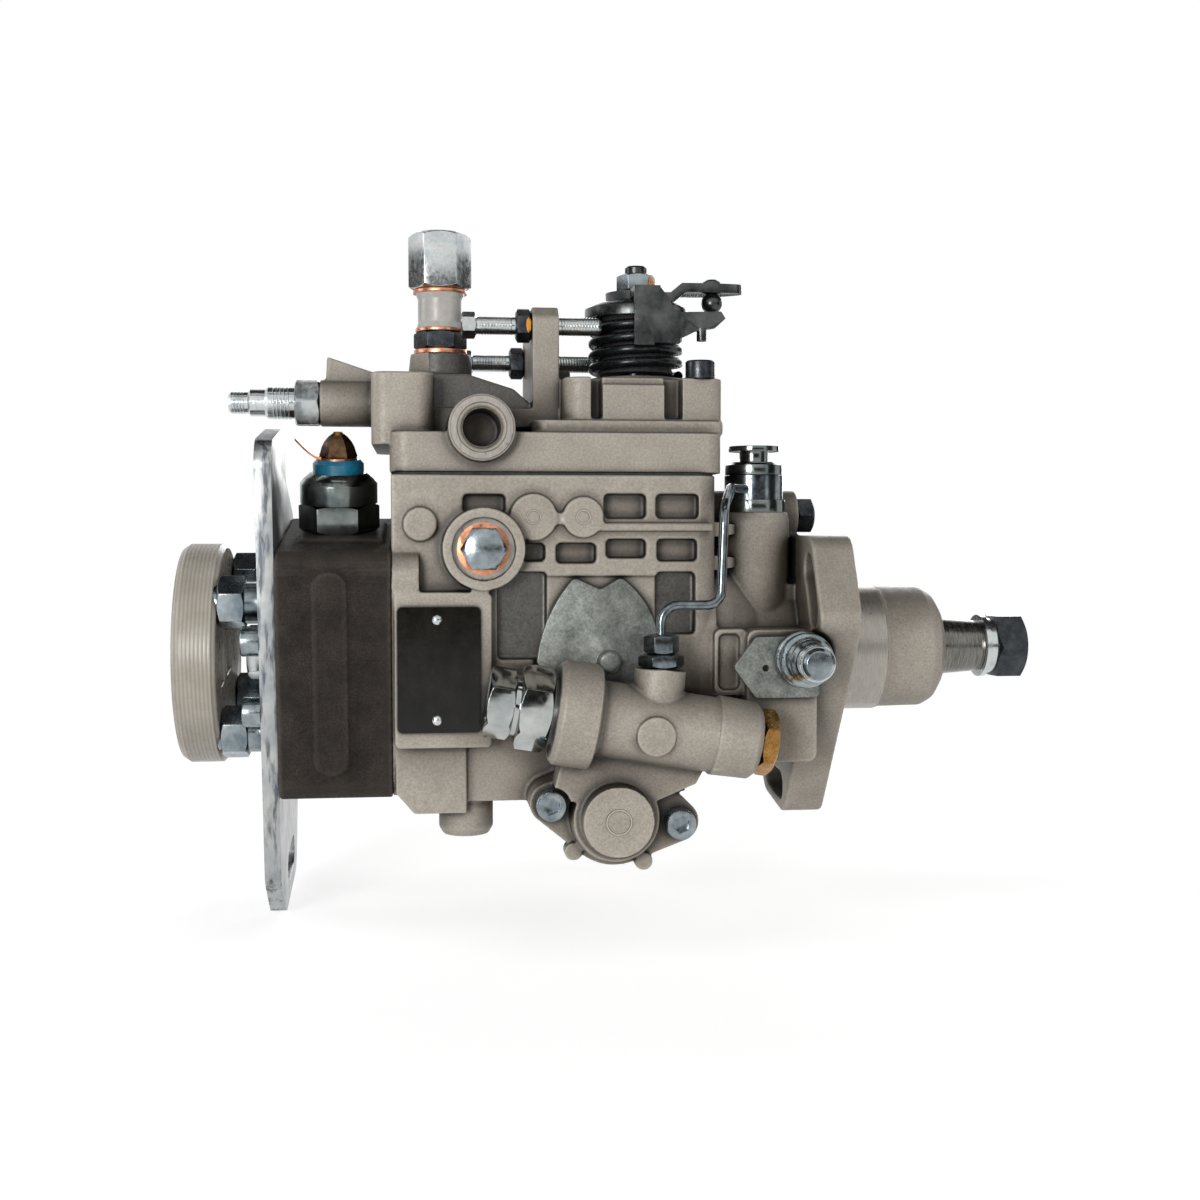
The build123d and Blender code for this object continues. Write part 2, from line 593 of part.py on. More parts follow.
def solenoid_terminal():
    """Terminal stud with its nut."""
    stud = turned((SOLENOID_X, 0, 68.0), (0, 0, 1), (0, 2.0), (8.6, 2.0), (9.4, 1.4))
    return in_head(stud + hexagon((SOLENOID_X, 0, 68.6), (0, 0, 1), TERMINAL_FLATS, 4.2))


def solenoid_armature():
    """Shut-off plunger that closes the fuel passage."""
    return in_head(turned((SOLENOID_X, 0, 26.4), (0, 0, 1), (0, 1.5), (2, 3.5), (2.2, 4.5), (21.6, 4.5)))


# ---------------------------------------------------------------- overflow and screws on the cover
def overflow_bolt():
    """Hollow overflow bolt with its long hexagon."""
    head = hexagon((OVERFLOW_X, OVERFLOW_Y, 126.0), (0, 0, 1), OVERFLOW_FLATS, 19.6, x_dir=(1, 0, 0), bevel=1.4)
    shank = rod((OVERFLOW_X, OVERFLOW_Y, 96), (0, 0, 1), OVERFLOW_BORE_R, 30.5)
    return head + shank


def overflow_spacer():
    """White spacer sleeve with softly flared ends."""
    sleeve = turned(
        (OVERFLOW_X, OVERFLOW_Y, 112.8), (0, 0, 1),
        (0, 8.3), (2, 7.7), (10, 7.7), (12, 8.5),
    )
    return sleeve - rod((OVERFLOW_X, OVERFLOW_Y, 112), (0, 0, 1), OVERFLOW_BORE_R + TOUCH, 15)


def overflow_fitting():
    """Dark hexagon fitting screwed into the cover boss."""
    bar = hexagon((OVERFLOW_X, OVERFLOW_Y, 105.4), (0, 0, 1), OVERFLOW_FITTING_FLATS, 6.2, x_dir=(1, 0, 0))
    bar += rod((OVERFLOW_X, OVERFLOW_Y, 95), (0, 0, 1), 6.0, 11)
    return bar - rod((OVERFLOW_X, OVERFLOW_Y, 94), (0, 0, 1), OVERFLOW_BORE_R + TOUCH, 20)


def copper_washers():
    """Three washers on the overflow bolt and one under the side plug."""
    solids = []
    for low, bore, outer, thick in ((103.8, 6.1, 9.2, 1.6), (111.6, 5.1, 8.6, 1.2), (124.8, 5.1, 9.4, 1.2)):
        solids.append(ring((OVERFLOW_X, OVERFLOW_Y, low), (0, 0, 1), bore, outer, thick))
    solids.append(ring((SIDE_PLUG[0], -42.5, SIDE_PLUG[1]), (0, -1, 0), 6.1, 9.6, 1.5))
    return group(*solids)


def full_load_screw():
    """Full-load adjusting screw: threaded body, neck and tip."""
    return turned(
        (-147, FULL_LOAD_Y, FULL_LOAD_Z), (-1, 0, 0),
        (0, FULL_LOAD_R), (48.5, FULL_LOAD_R), (49.5, 4.6), (54.5, 4.6),
        (55.3, 3.65), (61, 3.65), (61.8, 3.0),
    )


def stop_screws():
    """Maximum-speed and idle stop screws through the cover's fin."""
    solids = []
    for y, z, tip in ((STOP_SCREW_Y, STOP_SCREW_Z, -81.6), (IDLE_SCREW_Y, IDLE_SCREW_Z, -71.2)):
        start = -124.5
        shank = turned((start, y, z), (1, 0, 0), (0, SCREW_M6_R), (tip - start - 1, SCREW_M6_R), (tip - start, 2.2))
        solids.append(shank + hexagon((start, y, z), (-1, 0, 0), STOP_SCREW_FLATS, 5.5, x_dir=(0, 0, 1)))
    return group(*solids)


def lock_nuts():
    """Lock nuts of the full-load screw and of both stop screws."""
    place = (-178, FULL_LOAD_Y, FULL_LOAD_Z)
    full_load = hexagon(place, (-1, 0, 0), FULL_LOAD_NUT_FLATS, 8.4, x_dir=(0, 1, 0))
    solids = [full_load - rod((-177, FULL_LOAD_Y, FULL_LOAD_Z), (-1, 0, 0), FULL_LOAD_R + TOUCH, 12)]
    for y, z in ((STOP_SCREW_Y, STOP_SCREW_Z), (IDLE_SCREW_Y, IDLE_SCREW_Z)):
        nut = hexagon((-105.8, y, z), (-1, 0, 0), STOP_NUT_FLATS, 5.5, x_dir=(0, 0, 1))
        solids.append(nut - rod((-105, y, z), (-1, 0, 0), SCREW_M6_R + TOUCH, 8))
    return group(*solids)


# ---------------------------------------------------------------- fuel side
def pressure_regulator():
    """Pressure control valve at the top of the drive end."""
    body = turned(
        (REGULATOR_X, REGULATOR_Y, REGULATOR_SEAT_Z), (0, 0, 1),
        (-18, 6.5), (0, 6.5), (0, 11.0), (4.2, 11.0), (4.2, 6.0), (13, 6.0), (13, 10), (16.4, 10),
        (17.4, 8), (17.4, 5.0), (21.2, 5.0), (21.2, 8.8), (23, 8.8), (23, 5.5),
    )
    return body + hexagon((REGULATOR_X, REGULATOR_Y, 61.8), (0, 0, 1), REGULATOR_FLATS, 4.6)


def fuel_pipe():
    """Steel pipe with a brazed eye that sits on the regulator's stem."""
    path = FilletPolyline(*PIPE_ROUTE, radius=PIPE_RADII)
    start = Vector(*PIPE_ROUTE[1]) - Vector(*PIPE_ROUTE[0])
    tube = sweep(Plane(PIPE_ROUTE[0], z_dir=start) * Circle(PIPE_R), path)
    eye = ring((REGULATOR_X, REGULATOR_Y, 53.3), (0, 0, 1), 6.0 + TOUCH, 10.2, 8.4)
    section_by_length = math.pi * PIPE_R**2 * path.length
    print("fuel pipe volume", round(tube.volume, 1), "section x length", round(section_by_length, 1))
    return tube + eye


def pipe_nut():
    """Union nut at the lower end of the fuel pipe, with its dark screw-in hexagon."""
    low = hexagon((*PIPE_FOOT, -1.6), (0, 0, 1), PIPE_SEAT_FLATS, 4.4)
    high = hexagon((*PIPE_FOOT, 2.8), (0, 0, 1), PIPE_NUT_FLATS, 6.4)
    return low + high - rod((*PIPE_FOOT, 6.0), (0, 0, 1), PIPE_R + TOUCH, 4)


# ---------------------------------------------------------------- timing device covers
def timing_cover():
    """Cast timing cover that carries the cold-start cylinder above it."""
    seat = timing_pad(-TIMING_FACE_Y - TIMING_LUG_THICKNESS, -TIMING_FACE_Y)
    seat += turned((0, -TIMING_FACE_Y, -1), (0, -1, 0), (0, 15.5), (9, 14.6), (12, 14), (12, 11.7), (18, 11.5))
    for x in (-11.5, 12.0):
        seat += rod((x, -TIMING_FACE_Y, -14.5), (0, -1, 0), 3.0, 6.5)
    web = slab([(-22, 2), (-20, 27), (28, 25), (24, 14), (8, 4)], Plane.XZ, TIMING_FACE_Y, TIMING_FACE_Y + 12)
    cylinder = turned(
        (-26, COLD_AXIS_Y, COLD_AXIS_Z), (1, 0, 0),
        (0, 15.5), (1.5, 17), (13, 17), (14.5, COLD_R), (52, COLD_R),
        (52.4, COLD_R + 0.8), (65, COLD_R + 0.4), (67, COLD_R - 1.4),
    )
    stub = turned((6.0, COLD_AXIS_Y, COLD_AXIS_Z), (0, 0, 1), (0, 8.8), (14, 8.6), (19, 8.2))
    pad = rod((6.0, COLD_AXIS_Y, COLD_AXIS_Z - 2), (0, -1, 0), 6.3, COLD_R + 1.0)
    shape = seat + web + cylinder + stub + pad
    for side in (-1, 1):
        screw = (side * TIMING_SCREW_REACH, -TIMING_FACE_Y + 1, 0)
        shape -= rod(screw, (0, -1, 0), SCREW_M6_R + 0.2, 8)
        shape -= rod((screw[0], -TIMING_FACE_Y - TIMING_LUG_THICKNESS, 0), (0, -1, 0), 6.2, 12)
    shape -= rod((-27, COLD_AXIS_Y, COLD_AXIS_Z), (1, 0, 0), COLD_THREAD_R + TOUCH, 20)
    shape -= rod((30, COLD_AXIS_Y, COLD_AXIS_Z), (1, 0, 0), COLD_THREAD_R + TOUCH, 20)
    placed = on_timing(shape)
    return placed - rod((*PIPE_FOOT, -1.6), (0, 0, 1), 20, 12)


def cold_start_fitting():
    """Bright fitting at the left of the cold-start cylinder: two hexagons and a thread."""
    back = (-1, 0, 0)
    large, small = COLD_FITTING_FLATS
    shape = rod((-10, COLD_AXIS_Y, COLD_AXIS_Z), back, COLD_THREAD_R, 17)
    shape += turned((-26, COLD_AXIS_Y, COLD_AXIS_Z), back, (0, 11.5), (1.5, 11.5))
    shape += hexagon((-27.4, COLD_AXIS_Y, COLD_AXIS_Z), back, large, 10.5, x_dir=(0, 0, 1), bevel=1.3)
    shape += turned((-37.8, COLD_AXIS_Y, COLD_AXIS_Z), back, (0, 9.8), (1.6, 9.8))
    shape += hexagon((-39.2, COLD_AXIS_Y, COLD_AXIS_Z), back, small, 9, x_dir=(0, 0, 1), bevel=1.3)
    return on_timing(shape)


def cold_start_plug():
    """Brass hexagon plug at the right of the cold-start cylinder."""
    shape = rod((33, COLD_AXIS_Y, COLD_AXIS_Z), (1, 0, 0), COLD_THREAD_R, 9)
    place = (41.1, COLD_AXIS_Y, COLD_AXIS_Z)
    shape += hexagon(place, (1, 0, 0), COLD_PLUG_FLATS, 5.5, x_dir=(0, 0, 1), bevel=1.2)
    return on_timing(shape)


def spring_side_cover():
    """Plain cover over the spring end of the timing piston, on the far side."""
    shape = timing_pad(TIMING_FACE_Y, TIMING_FACE_Y + TIMING_LUG_THICKNESS)
    shape += turned((0, TIMING_FACE_Y, 0), (0, 1, 0), (0, 15), (8, 14.2), (9.5, 12.5))
    for side in (-1, 1):
        shape -= rod((side * TIMING_SCREW_REACH, TIMING_FACE_Y - 1, 0), (0, 1, 0), SCREW_M6_R + 0.2, 8)
        shape -= rod((side * TIMING_SCREW_REACH, TIMING_FACE_Y + TIMING_LUG_THICKNESS, 0), (0, 1, 0), 6.2, 12)
    return on_timing(shape)


def timing_piston():
    """Advance piston with the pocket for the roller ring's pin."""
    shape = turned(
        (TIMING_X, -28, TIMING_Z), (0, 1, 0),
        (0, 11.5), (1, TIMING_BORE_R - 0.03), (50, TIMING_BORE_R - 0.03), (51, 12),
    )
    shape -= rod((TIMING_X, 0, TIMING_Z - 6), (0, 0, 1), 4.35, 30)
    shape -= rod((TIMING_X, 0, TIMING_Z + 4), (0, 0, 1), 6.5, 20)
    return shape - rod((TIMING_X, 14, TIMING_Z), (0, 1, 0), 9.5, 20)


def timing_spring():
    """Spring behind the advance piston."""
    return coil((TIMING_X, 15.5, TIMING_Z), (0, 1, 0), 7.5, 1.1, 7.0, 28)


# ---------------------------------------------------------------- plates and plugs
def name_plate():
    """Blank plate on its boss."""
    plate = block((-151.6, -124.8), (-47.3, -46.5), (-23.2, 17.7))
    return fillet(plate.edges().filter_by(Axis.Y), 1.6)


def side_plug():
    """Hexagon bolt that closes the round side boss."""
    x, z = SIDE_PLUG
    head = hexagon((x, -44.0, z), (0, -1, 0), SIDE_PLUG_FLATS, 6.0, x_dir=(1, 0, 0), bevel=1.2)
    return head + rod((x, -45, z), (0, 1, 0), 6.0, 10)


def side_plate():
    """Plated cover plate with a notched top edge and a rounded pin through it."""
    left, right = (-106.0, -1.0), (-68.5, -11.0)
    peaks = [(-93.5, 27.0), (-84.7, 23.0), (-78.0, 27.0)]
    edges = [
        ThreePointArc(left, (-101.6, 15.0), peaks[0]), Polyline(*peaks),
        ThreePointArc(peaks[2], (-66.9, 12.8), right), Polyline(right, (-98.0, -11.0), left),
    ]
    face = fillet(make_face(edges).vertices(), 2.0)
    plate = extrude(Plane.XZ.offset(HOUSING_HALF_WIDTH - 1.2) * face, 1.9)
    pin = turned((-82, -41.5, -1.0), (0, -1, 0), (0, 3.9), (3.4, 3.9), (4.4, 3.0))
    return plate + pin


def lock_plate():
    """Pointed spacer plate under the lock bolt."""
    outline = [(-41.2, -2.6), (-33.6, 7.3), (-12, 7.3), (-12, -13.0), (-33.6, -13.0)]
    face = make_face(Polyline(*outline, close=True))
    face = fillet(face.vertices(), 1.8)
    face -= Pos(-30.3, -3.1) * Circle(1.1)
    face -= Pos(LOCK_BOLT_X, 0) * Circle(6.3)
    return extrude(Plane.XZ.offset(47) * face, 2.4)


def lock_bolt():
    """Stepped bolt that locks the drive shaft for transport."""
    bolt = turned(
        (LOCK_BOLT_X, -25, 0), (0, -1, 0),
        (0, 5.0), (22, 5.0), (24.4, 6.2), (24.4, 9.4), (27, 9.4), (27.6, 8.4), (29.2, 8.4), (29.8, 9.0), (32, 9.0),
        (33, 7.4), (38.5, 7.4), (40, 6.0), (41, 6.0), (45.5, 5.2), (47, 4.2),
    )
    return bolt


# ---------------------------------------------------------------- drive shaft and transfer pump
def drive_shaft():
    """Drive shaft: thread, taper, journal and the slotted yoke."""
    collar_x = TAPER_START_X - 2.4
    shaft = turned(
        (0, 0, 0), (1, 0, 0),
        (YOKE_X, YOKE_R), (YOKE_X + YOKE_LENGTH, YOKE_R), (YOKE_X + YOKE_LENGTH, SHAFT_R),
        (collar_x, SHAFT_R), (collar_x, SHAFT_R + 0.4), (TAPER_START_X, SHAFT_R + 0.4), (TAPER_END_X, SHAFT_R - 0.8),
        (TAPER_END_X, SHAFT_THREAD_R), (SHAFT_END_X - 1, SHAFT_THREAD_R), (SHAFT_END_X, SHAFT_THREAD_R - 1),
    )
    slot = block((YOKE_X - 1, YOKE_X + 14), (-4.1, 4.1), (-16, 16))
    keyway = to_far_side(block((KEY_X, KEY_X + KEY_LENGTH), (-2, 2), (8.0, 12)))
    return shaft - slot - keyway


def to_far_side(shape):
    """Turns what is drawn above the shaft to its far side."""
    return Rot(-90, 0, 0) * shape


def shaft_key():
    """Half-moon key in the taper."""
    key = block((KEY_X + 0.1, KEY_X + KEY_LENGTH - 0.1), (-1.98, 1.98), (8.1, 12.2))
    return to_far_side(fillet(key.edges().filter_by(Axis.Y).group_by(Axis.Z)[-1], 1.5))


def shaft_washer():
    """Spring washer and plain washer under the shaft nut."""
    bore_r = SHAFT_THREAD_R + 0.1
    plain = ring((TAPER_END_X + 0.1, 0, 0), (1, 0, 0), bore_r, 11.4, 1.8)
    spring = ring((TAPER_END_X + 1.9, 0, 0), (1, 0, 0), bore_r, 10.2, 2.6)
    return group(plain, spring - block((62, 66), (-0.8, 0.8), (5, 12)))


def shaft_nut():
    """Shaft nut, 22 mm across flats."""
    nut = hexagon((65.5, 0, 0), (1, 0, 0), SHAFT_NUT_FLATS, 11.2, x_dir=(0, 1, 0), bevel=1.3)
    return nut - rod((65, 0, 0), (1, 0, 0), SHAFT_THREAD_R + TOUCH, 13)


def vane_ring():
    """Stationary eccentric ring of the transfer pump, with its cheek plate."""
    body = rod((-56, 0, 0), (1, 0, 0), VANE_BORE_R - 0.03, 14) - rod((-57, 0, 2), (1, 0, 0), 19, 16)
    cheek = ring((-58, 0, 0), (1, 0, 0), 11, VANE_BORE_R - 0.03, 2)
    return body + cheek


def vane_rotor():
    """Slotted rotor with four separate vanes at their inner position."""
    rotor = ring((-55.9, 0, 0), (1, 0, 0), SHAFT_R + TOUCH, 16.2, 13.8)
    vanes = []
    for turn in range(4):
        place = Rot(90 * turn + 20, 0, 0)
        rotor -= place * block((-57, -41), (-1.2, 1.2), (11.5, 18))
        vanes.append(place * block((-55.9, -42.1), (-1.15, 1.15), (11.6, 16.9)))
    return group(rotor, *vanes)


def bush():
    """Plain bearing bush of the drive shaft."""
    return ring((-38, 0, 0), (1, 0, 0), SHAFT_R + RUNNING_GAP, BUSH_R - TOUCH, 70)


def shaft_seal():
    """Lip seal in the end of the nose."""
    seal = turned((NOSE_END_X - 7.6, 0, 0), (1, 0, 0), (0, 15 - TOUCH), (7, 15 - TOUCH), (7.4, 14.4))
    return seal - rod((NOSE_END_X - 8, 0, 0), (1, 0, 0), SHAFT_R + 0.15, 9)


# ---------------------------------------------------------------- gears
def gear_outline(teeth, first_angle):
    """Spur gear outline with involute flanks, its first tooth at the given angle."""
    pitch_r = GEAR_MODULE * teeth / 2
    base_r = pitch_r * math.cos(math.radians(20))
    tip_r = pitch_r + GEAR_MODULE
    root_r = pitch_r - 1.25 * GEAR_MODULE
    backlash = 0.12
    half_pitch = (math.pi * GEAR_MODULE / 2 - backlash) / (2 * pitch_r)

    def involute(radius):
        """Polar angle of the flank at a radius, from the flank's start on the base circle."""
        pressure = math.acos(base_r / radius)
        return math.tan(pressure) - pressure

    def flank_point(radius, side, tooth):
        """Point on one flank of one tooth."""
        start_r = max(radius, base_r)
        offset = half_pitch + involute(pitch_r) - involute(start_r)
        angle = tooth + side * offset
        return (radius * math.cos(angle), radius * math.sin(angle))

    middle_r = (max(root_r, base_r) + tip_r) / 2
    edges = []
    for index in range(teeth):
        tooth = math.radians(first_angle) + 2 * math.pi * index / teeth
        following = tooth + 2 * math.pi / teeth
        low = [flank_point(root_r, side, tooth) for side in (-1, 1)]
        foot = [flank_point(max(root_r, base_r) + 0.01, side, tooth) for side in (-1, 1)]
        mid = [flank_point(middle_r, side, tooth) for side in (-1, 1)]
        tip = [flank_point(tip_r, side, tooth) for side in (-1, 1)]
        edges += [Line(low[0], foot[0]), ThreePointArc(foot[0], mid[0], tip[0]), Line(tip[0], tip[1])]
        edges += [ThreePointArc(tip[1], mid[1], foot[1]), Line(foot[1], low[1])]
        edges.append(Line(low[1], flank_point(root_r, -1, following)))
    return make_face(edges)


def spur_gear(teeth, first_angle):
    """Gear slab in its place along the shaft; the outline's x is the pump's Y."""
    across = Plane(origin=(GEAR_X, 0, 0), x_dir=(0, 1, 0), z_dir=(1, 0, 0))
    return extrude(across * gear_outline(teeth, first_angle), GEAR_WIDTH)


def drive_gear():
    """Gear on the drive shaft that turns the governor."""
    gear = spur_gear(DRIVE_TEETH, 90)
    gear -= rod((GEAR_X - 1, 0, 0), (1, 0, 0), SHAFT_R + TOUCH, GEAR_WIDTH + 2)
    for side in (-1.0, GEAR_WIDTH - 1.0):
        gear -= ring((GEAR_X + side, 0, 0), (1, 0, 0), 14, 25, 2)
    return gear


def governor_gear():
    """Governor gear in one piece with the flyweight cage."""
    gear = Pos(0, 0, GOVERNOR_Z) * spur_gear(GOVERNOR_TEETH, 270 + 180 / GOVERNOR_TEETH)
    centre = (GEAR_X - 2, 0, GOVERNOR_Z)
    gear += rod(centre, (1, 0, 0), 15.4, 2.5)
    cage = ring((-92, 0, GOVERNOR_Z), (1, 0, 0), 12.2, 15.4, 2)
    for turn in range(4):
        arm = block((-91, GEAR_X - 1), (-1.75, 1.75), (11.0, 15.0))
        cage += Pos(0, 0, GOVERNOR_Z) * Rot(90 * turn, 0, 0) * arm
    return gear + cage - rod((-95, 0, GOVERNOR_Z), (1, 0, 0), GOVERNOR_SHAFT_R + RUNNING_GAP, 40)


def flyweights():
    """Four flyweights between the arms of the cage, closed."""
    weights = []
    for turn in range(4):
        segment = ring((-88, 0, 0), (1, 0, 0), 8.4, 14.8, 19.4)
        wedge = slab([(0, 0), (15, 22), (-15, 22)], Plane.YZ, -89, -68)
        segment &= wedge
        segment -= block((-88.2, -84), (-12, 12), (11.5, 16))
        weights.append(Pos(0, 0, GOVERNOR_Z) * Rot(90 * turn + 45, 0, 0) * segment)
    return group(*weights)


def governor_shaft():
    """Fixed governor shaft, screwed through the housing, with its hexagon end."""
    start, end = GOVERNOR_SHAFT_START_X, GOVERNOR_SHAFT_END_X
    shaft = turned(
        (0, 0, GOVERNOR_Z), (1, 0, 0),
        (start, GOVERNOR_SHAFT_R - 0.8), (start + 0.8, GOVERNOR_SHAFT_R), (end, GOVERNOR_SHAFT_R),
    )
    return shaft + hexagon((-9, 0, GOVERNOR_Z), (1, 0, 0), GOVERNOR_SHAFT_FLATS, 6.8, x_dir=(0, 1, 0), bevel=1.2)


def governor_sleeve():
    """Sliding sleeve that the flyweights push against the governor lever."""
    sleeve = turned(
        (SLEEVE_X, 0, GOVERNOR_Z), (1, 0, 0),
        (0, SLEEVE_R - 1), (1.2, SLEEVE_R), (22, SLEEVE_R), (22, SLEEVE_R + 1.2), (25, SLEEVE_R + 1.2),
    )
    return sleeve - rod((SLEEVE_X - 1, 0, GOVERNOR_Z), (1, 0, 0), GOVERNOR_SHAFT_R + RUNNING_GAP + 0.02, 30)


def governor_lever():
    """Governor lever on its cross pin, with the ball that moves the control collar."""
    x, _, z = LEVER_PIVOT
    outline = [(-8, 20), (-8, 27), (-11, 38), (-11, 56), (-6, 74), (6, 74), (11, 56), (11, 38), (8, 27), (8, 20)]
    plate = slab(outline, Plane.YZ, x - 2.5, x + 1.5)
    plate -= rod((x - 3, 0, GOVERNOR_Z), (1, 0, 0), GOVERNOR_SHAFT_R + 0.9, 6)
    cross_pin = rod((x, -28, z), (0, 1, 0), 3.0, 56)
    finger = rod((x, 0, z), (0, 0, -1), 1.8, z - LEVER_BALL_Z)
    ball = Pos(x, 0, LEVER_BALL_Z) * Sphere(LEVER_BALL_R)
    return plate + cross_pin + finger + ball


def control_collar():
    """Spill collar on the plunger, with the socket for the lever's ball."""
    collar = ring((COLLAR_X, 0, 0), (1, 0, 0), PLUNGER_R + RUNNING_GAP, COLLAR_R, COLLAR_WIDTH)
    socket_floor = LEVER_BALL_Z - LEVER_BALL_R - 0.4
    return collar - rod((LEVER_PIVOT[0], 0, socket_floor), (0, 0, 1), LEVER_BALL_R + 0.4, 10)


def governor_spring():
    """Spring between the governor lever and the throttle shaft's pin."""
    return coil((-116.5, 0, 71.6), (1, 0, 0), 3.4, 0.6, 7.2, 42.2)


# ---------------------------------------------------------------- cam, rollers, plunger
CAM_FACE_X = RING_X - ROLLER_R - CAM_LIFT - CAM_SEAT_GAP
CAM_VALLEY_R = 45.0
ROLLER_ANGLES = (45, 135, 225, 315)


def roller_ring():
    """Ring that carries the rollers, with the ball-ended advance pin below."""
    shape = ring((RING_X, 0, 0), (1, 0, 0), 17.0, MAIN_BORE_R - 0.05, RING_WIDTH)
    for angle in ROLLER_ANGLES:
        shape -= Rot(angle, 0, 0) * rod((RING_X, 0, 18.5), (0, 0, 1), ROLLER_R + RUNNING_GAP, 12)
    pin = rod((TIMING_X, 0, -30), (0, 0, -1), 2.6, 20)
    return shape + pin + Pos(TIMING_X, 0, TIMING_Z) * Sphere(4.0)


def rollers():
    """Four crowned rollers in the ring's pockets."""
    roller = turned((RING_X, 0, 19), (0, 0, 1), (0, 5.2), (0.8, ROLLER_R), (10.2, ROLLER_R), (11, 5.2))
    return group(*[Rot(angle, 0, 0) * roller for angle in ROLLER_ANGLES])


def cam_plate():
    """Face cam with four lobes and the driving tongue."""
    plate = rod((CAM_FACE_X - 6, 0, 0), (1, 0, 0), 29.5, 6 + CAM_LIFT)
    for angle in ROLLER_ANGLES:
        valley = rod((CAM_FACE_X + CAM_VALLEY_R, 0, 14), (0, 0, 1), CAM_VALLEY_R, 20)
        plate -= Rot(angle, 0, 0) * valley
    plate -= ring((CAM_FACE_X, 0, 0), (1, 0, 0), 14, 17, 5)
    tongue = block((CAM_FACE_X, -74), (-4.0, 4.0), (-13.5, 13.5))
    return plate + rod((CAM_FACE_X, 0, 0), (1, 0, 0), 14, 8) + tongue


def plunger():
    """Distributor plunger with its foot, spill port and distributing groove."""
    start = CAM_FACE_X - 6
    shape = turned(
        (start, 0, 0), (-1, 0, 0),
        (0, 9), (3, 9), (3, PLUNGER_R), (PLUNGER_LENGTH - 1, PLUNGER_R),
        (PLUNGER_LENGTH, PLUNGER_R - 1),
    )
    shape -= rod((-120, 0, -8), (0, 0, 1), 1.5, 16)
    return shape - block((-172, -160), (-1, 1), (4.5, 8))


def plunger_springs():
    """Pair of return springs beside the plunger."""
    start = -145.2
    springs = [coil((start, side * 20.5, 0), (1, 0, 0), 5.2, 1.1, 7.84, 39.2) for side in (-1, 1)]
    return group(*springs)


# ---------------------------------------------------------------- throttle
def throttle_shaft():
    """Throttle shaft with the crank pin for the governor spring."""
    shaft = turned(
        (THROTTLE_X, 0, 73.5), (0, 0, 1),
        (0, 7), (3, 7), (3, THROTTLE_SHAFT_R), (50, THROTTLE_SHAFT_R), (50, 4), (62.5, 4), (63.1, 3.4),
    )
    return shaft + rod((THROTTLE_X - 5, 0, 74), (0, 0, -1), 1.5, 5)


LEVER_Z = 123.7               # underside of the throttle lever's hub plate
LEVER_THICKNESS = 3.2
LEVER_ARM_RISE = 3.3          # the arm is joggled up by this much beyond the nut
LEVER_TAB_Y = 21.7            # outer face of the two stop tabs
CUP_R = 18.4


def lever_arm():
    """Joggled arm with a rounded plan, its ball joint below and the rivet above, about the shaft's axis."""
    low, high = LEVER_Z, LEVER_Z + LEVER_THICKNESS
    side_view = [
        (7, low), (13, low), (17, low + LEVER_ARM_RISE), (38, low + LEVER_ARM_RISE),
        (38, high + LEVER_ARM_RISE), (15.5, high + LEVER_ARM_RISE), (11.5, high), (7, high),
    ]
    corners = Circle(6.5).edges() + (Pos(26, -1.5) * Circle(6.5)).edges() + (Pos(34.5, -3.5) * Circle(3.2)).edges()
    plan = extrude(Pos(0, 0, low - 1) * make_hull(corners), 12)
    arm = slab(side_view, Plane.XZ, -8, 8) & plan
    ball_x, ball_y = 27.0, -3.0
    ball = Pos(ball_x, ball_y, low) * Sphere(3.8)
    rivet = turned((ball_x, ball_y, high + LEVER_ARM_RISE - 0.2), (0, 0, 1), (0, 3.3), (1.3, 3.1), (2.0, 2.0))
    return arm + ball + rivet


def lever_stop():
    """Near stop tab, the hooked web beside it, the stop block and its tapered lug, about the shaft's axis."""
    outer, inner = LEVER_TAB_Y, LEVER_TAB_Y - 3
    top = LEVER_Z + LEVER_THICKNESS
    tab = slab([(-3.5, 106.5), (-3.5, top), (5.0, top), (8.6, 122.6), (10.4, 118), (3.5, 118), (3.5, 106.5)],
               Plane.XZ, inner, outer)
    stop = block((1.5, 12.5), (-outer, -outer + 4.1), (107.3, 118.5))
    lug = slab([(12, 108.5), (12, 118), (27, 118.4), (28.5, 116), (25, 112.8), (18, 111.5)], Plane.XZ, 17.8, 20.8)
    pin = rod((20.3, -19.3, 108.2), (0, 0, 1), 1.7, 5)
    return tab + stop + lug + pin


def throttle_lever():
    """Pressed throttle lever: hub plate, stop tabs, spring cup and linkage arm."""
    plate = Circle(11) + Pos(1.0, -LEVER_TAB_Y / 2) * Rectangle(9, LEVER_TAB_Y)
    plate += Pos(0, LEVER_TAB_Y / 2) * Rectangle(7, LEVER_TAB_Y)
    shape = extrude(Pos(0, 0, LEVER_Z) * plate, LEVER_THICKNESS)
    shape += block((-3.5, 3.5), (LEVER_TAB_Y - 3, LEVER_TAB_Y), (100.5, LEVER_Z + LEVER_THICKNESS))
    shape += turned((0, 0, LEVER_Z - 3.3), (0, 0, 1), (0, CUP_R), (0.9, CUP_R - 0.2), (2.2, 16), (3.4, 12))
    shape += ring((0, 0, LEVER_Z - 6), (0, 0, 1), CUP_R - 1.1, CUP_R, 3.2)
    shape += lever_arm() + lever_stop()
    shape -= rod((0, 0, LEVER_Z - 9), (0, 0, 1), THROTTLE_SHAFT_R + TOUCH, 9)
    shape -= rod((0, 0, LEVER_Z - 9), (0, 0, 1), 4 + TOUCH, 20)
    return Pos(THROTTLE_X, 0, 0) * shape


def throttle_nut():
    """Nut on top of the throttle shaft."""
    nut = hexagon((THROTTLE_X, 0, 127.2), (0, 0, 1), THROTTLE_NUT_FLATS, 6.6, bevel=1.0)
    return nut - rod((THROTTLE_X, 0, 126), (0, 0, 1), 4 + TOUCH, 9)


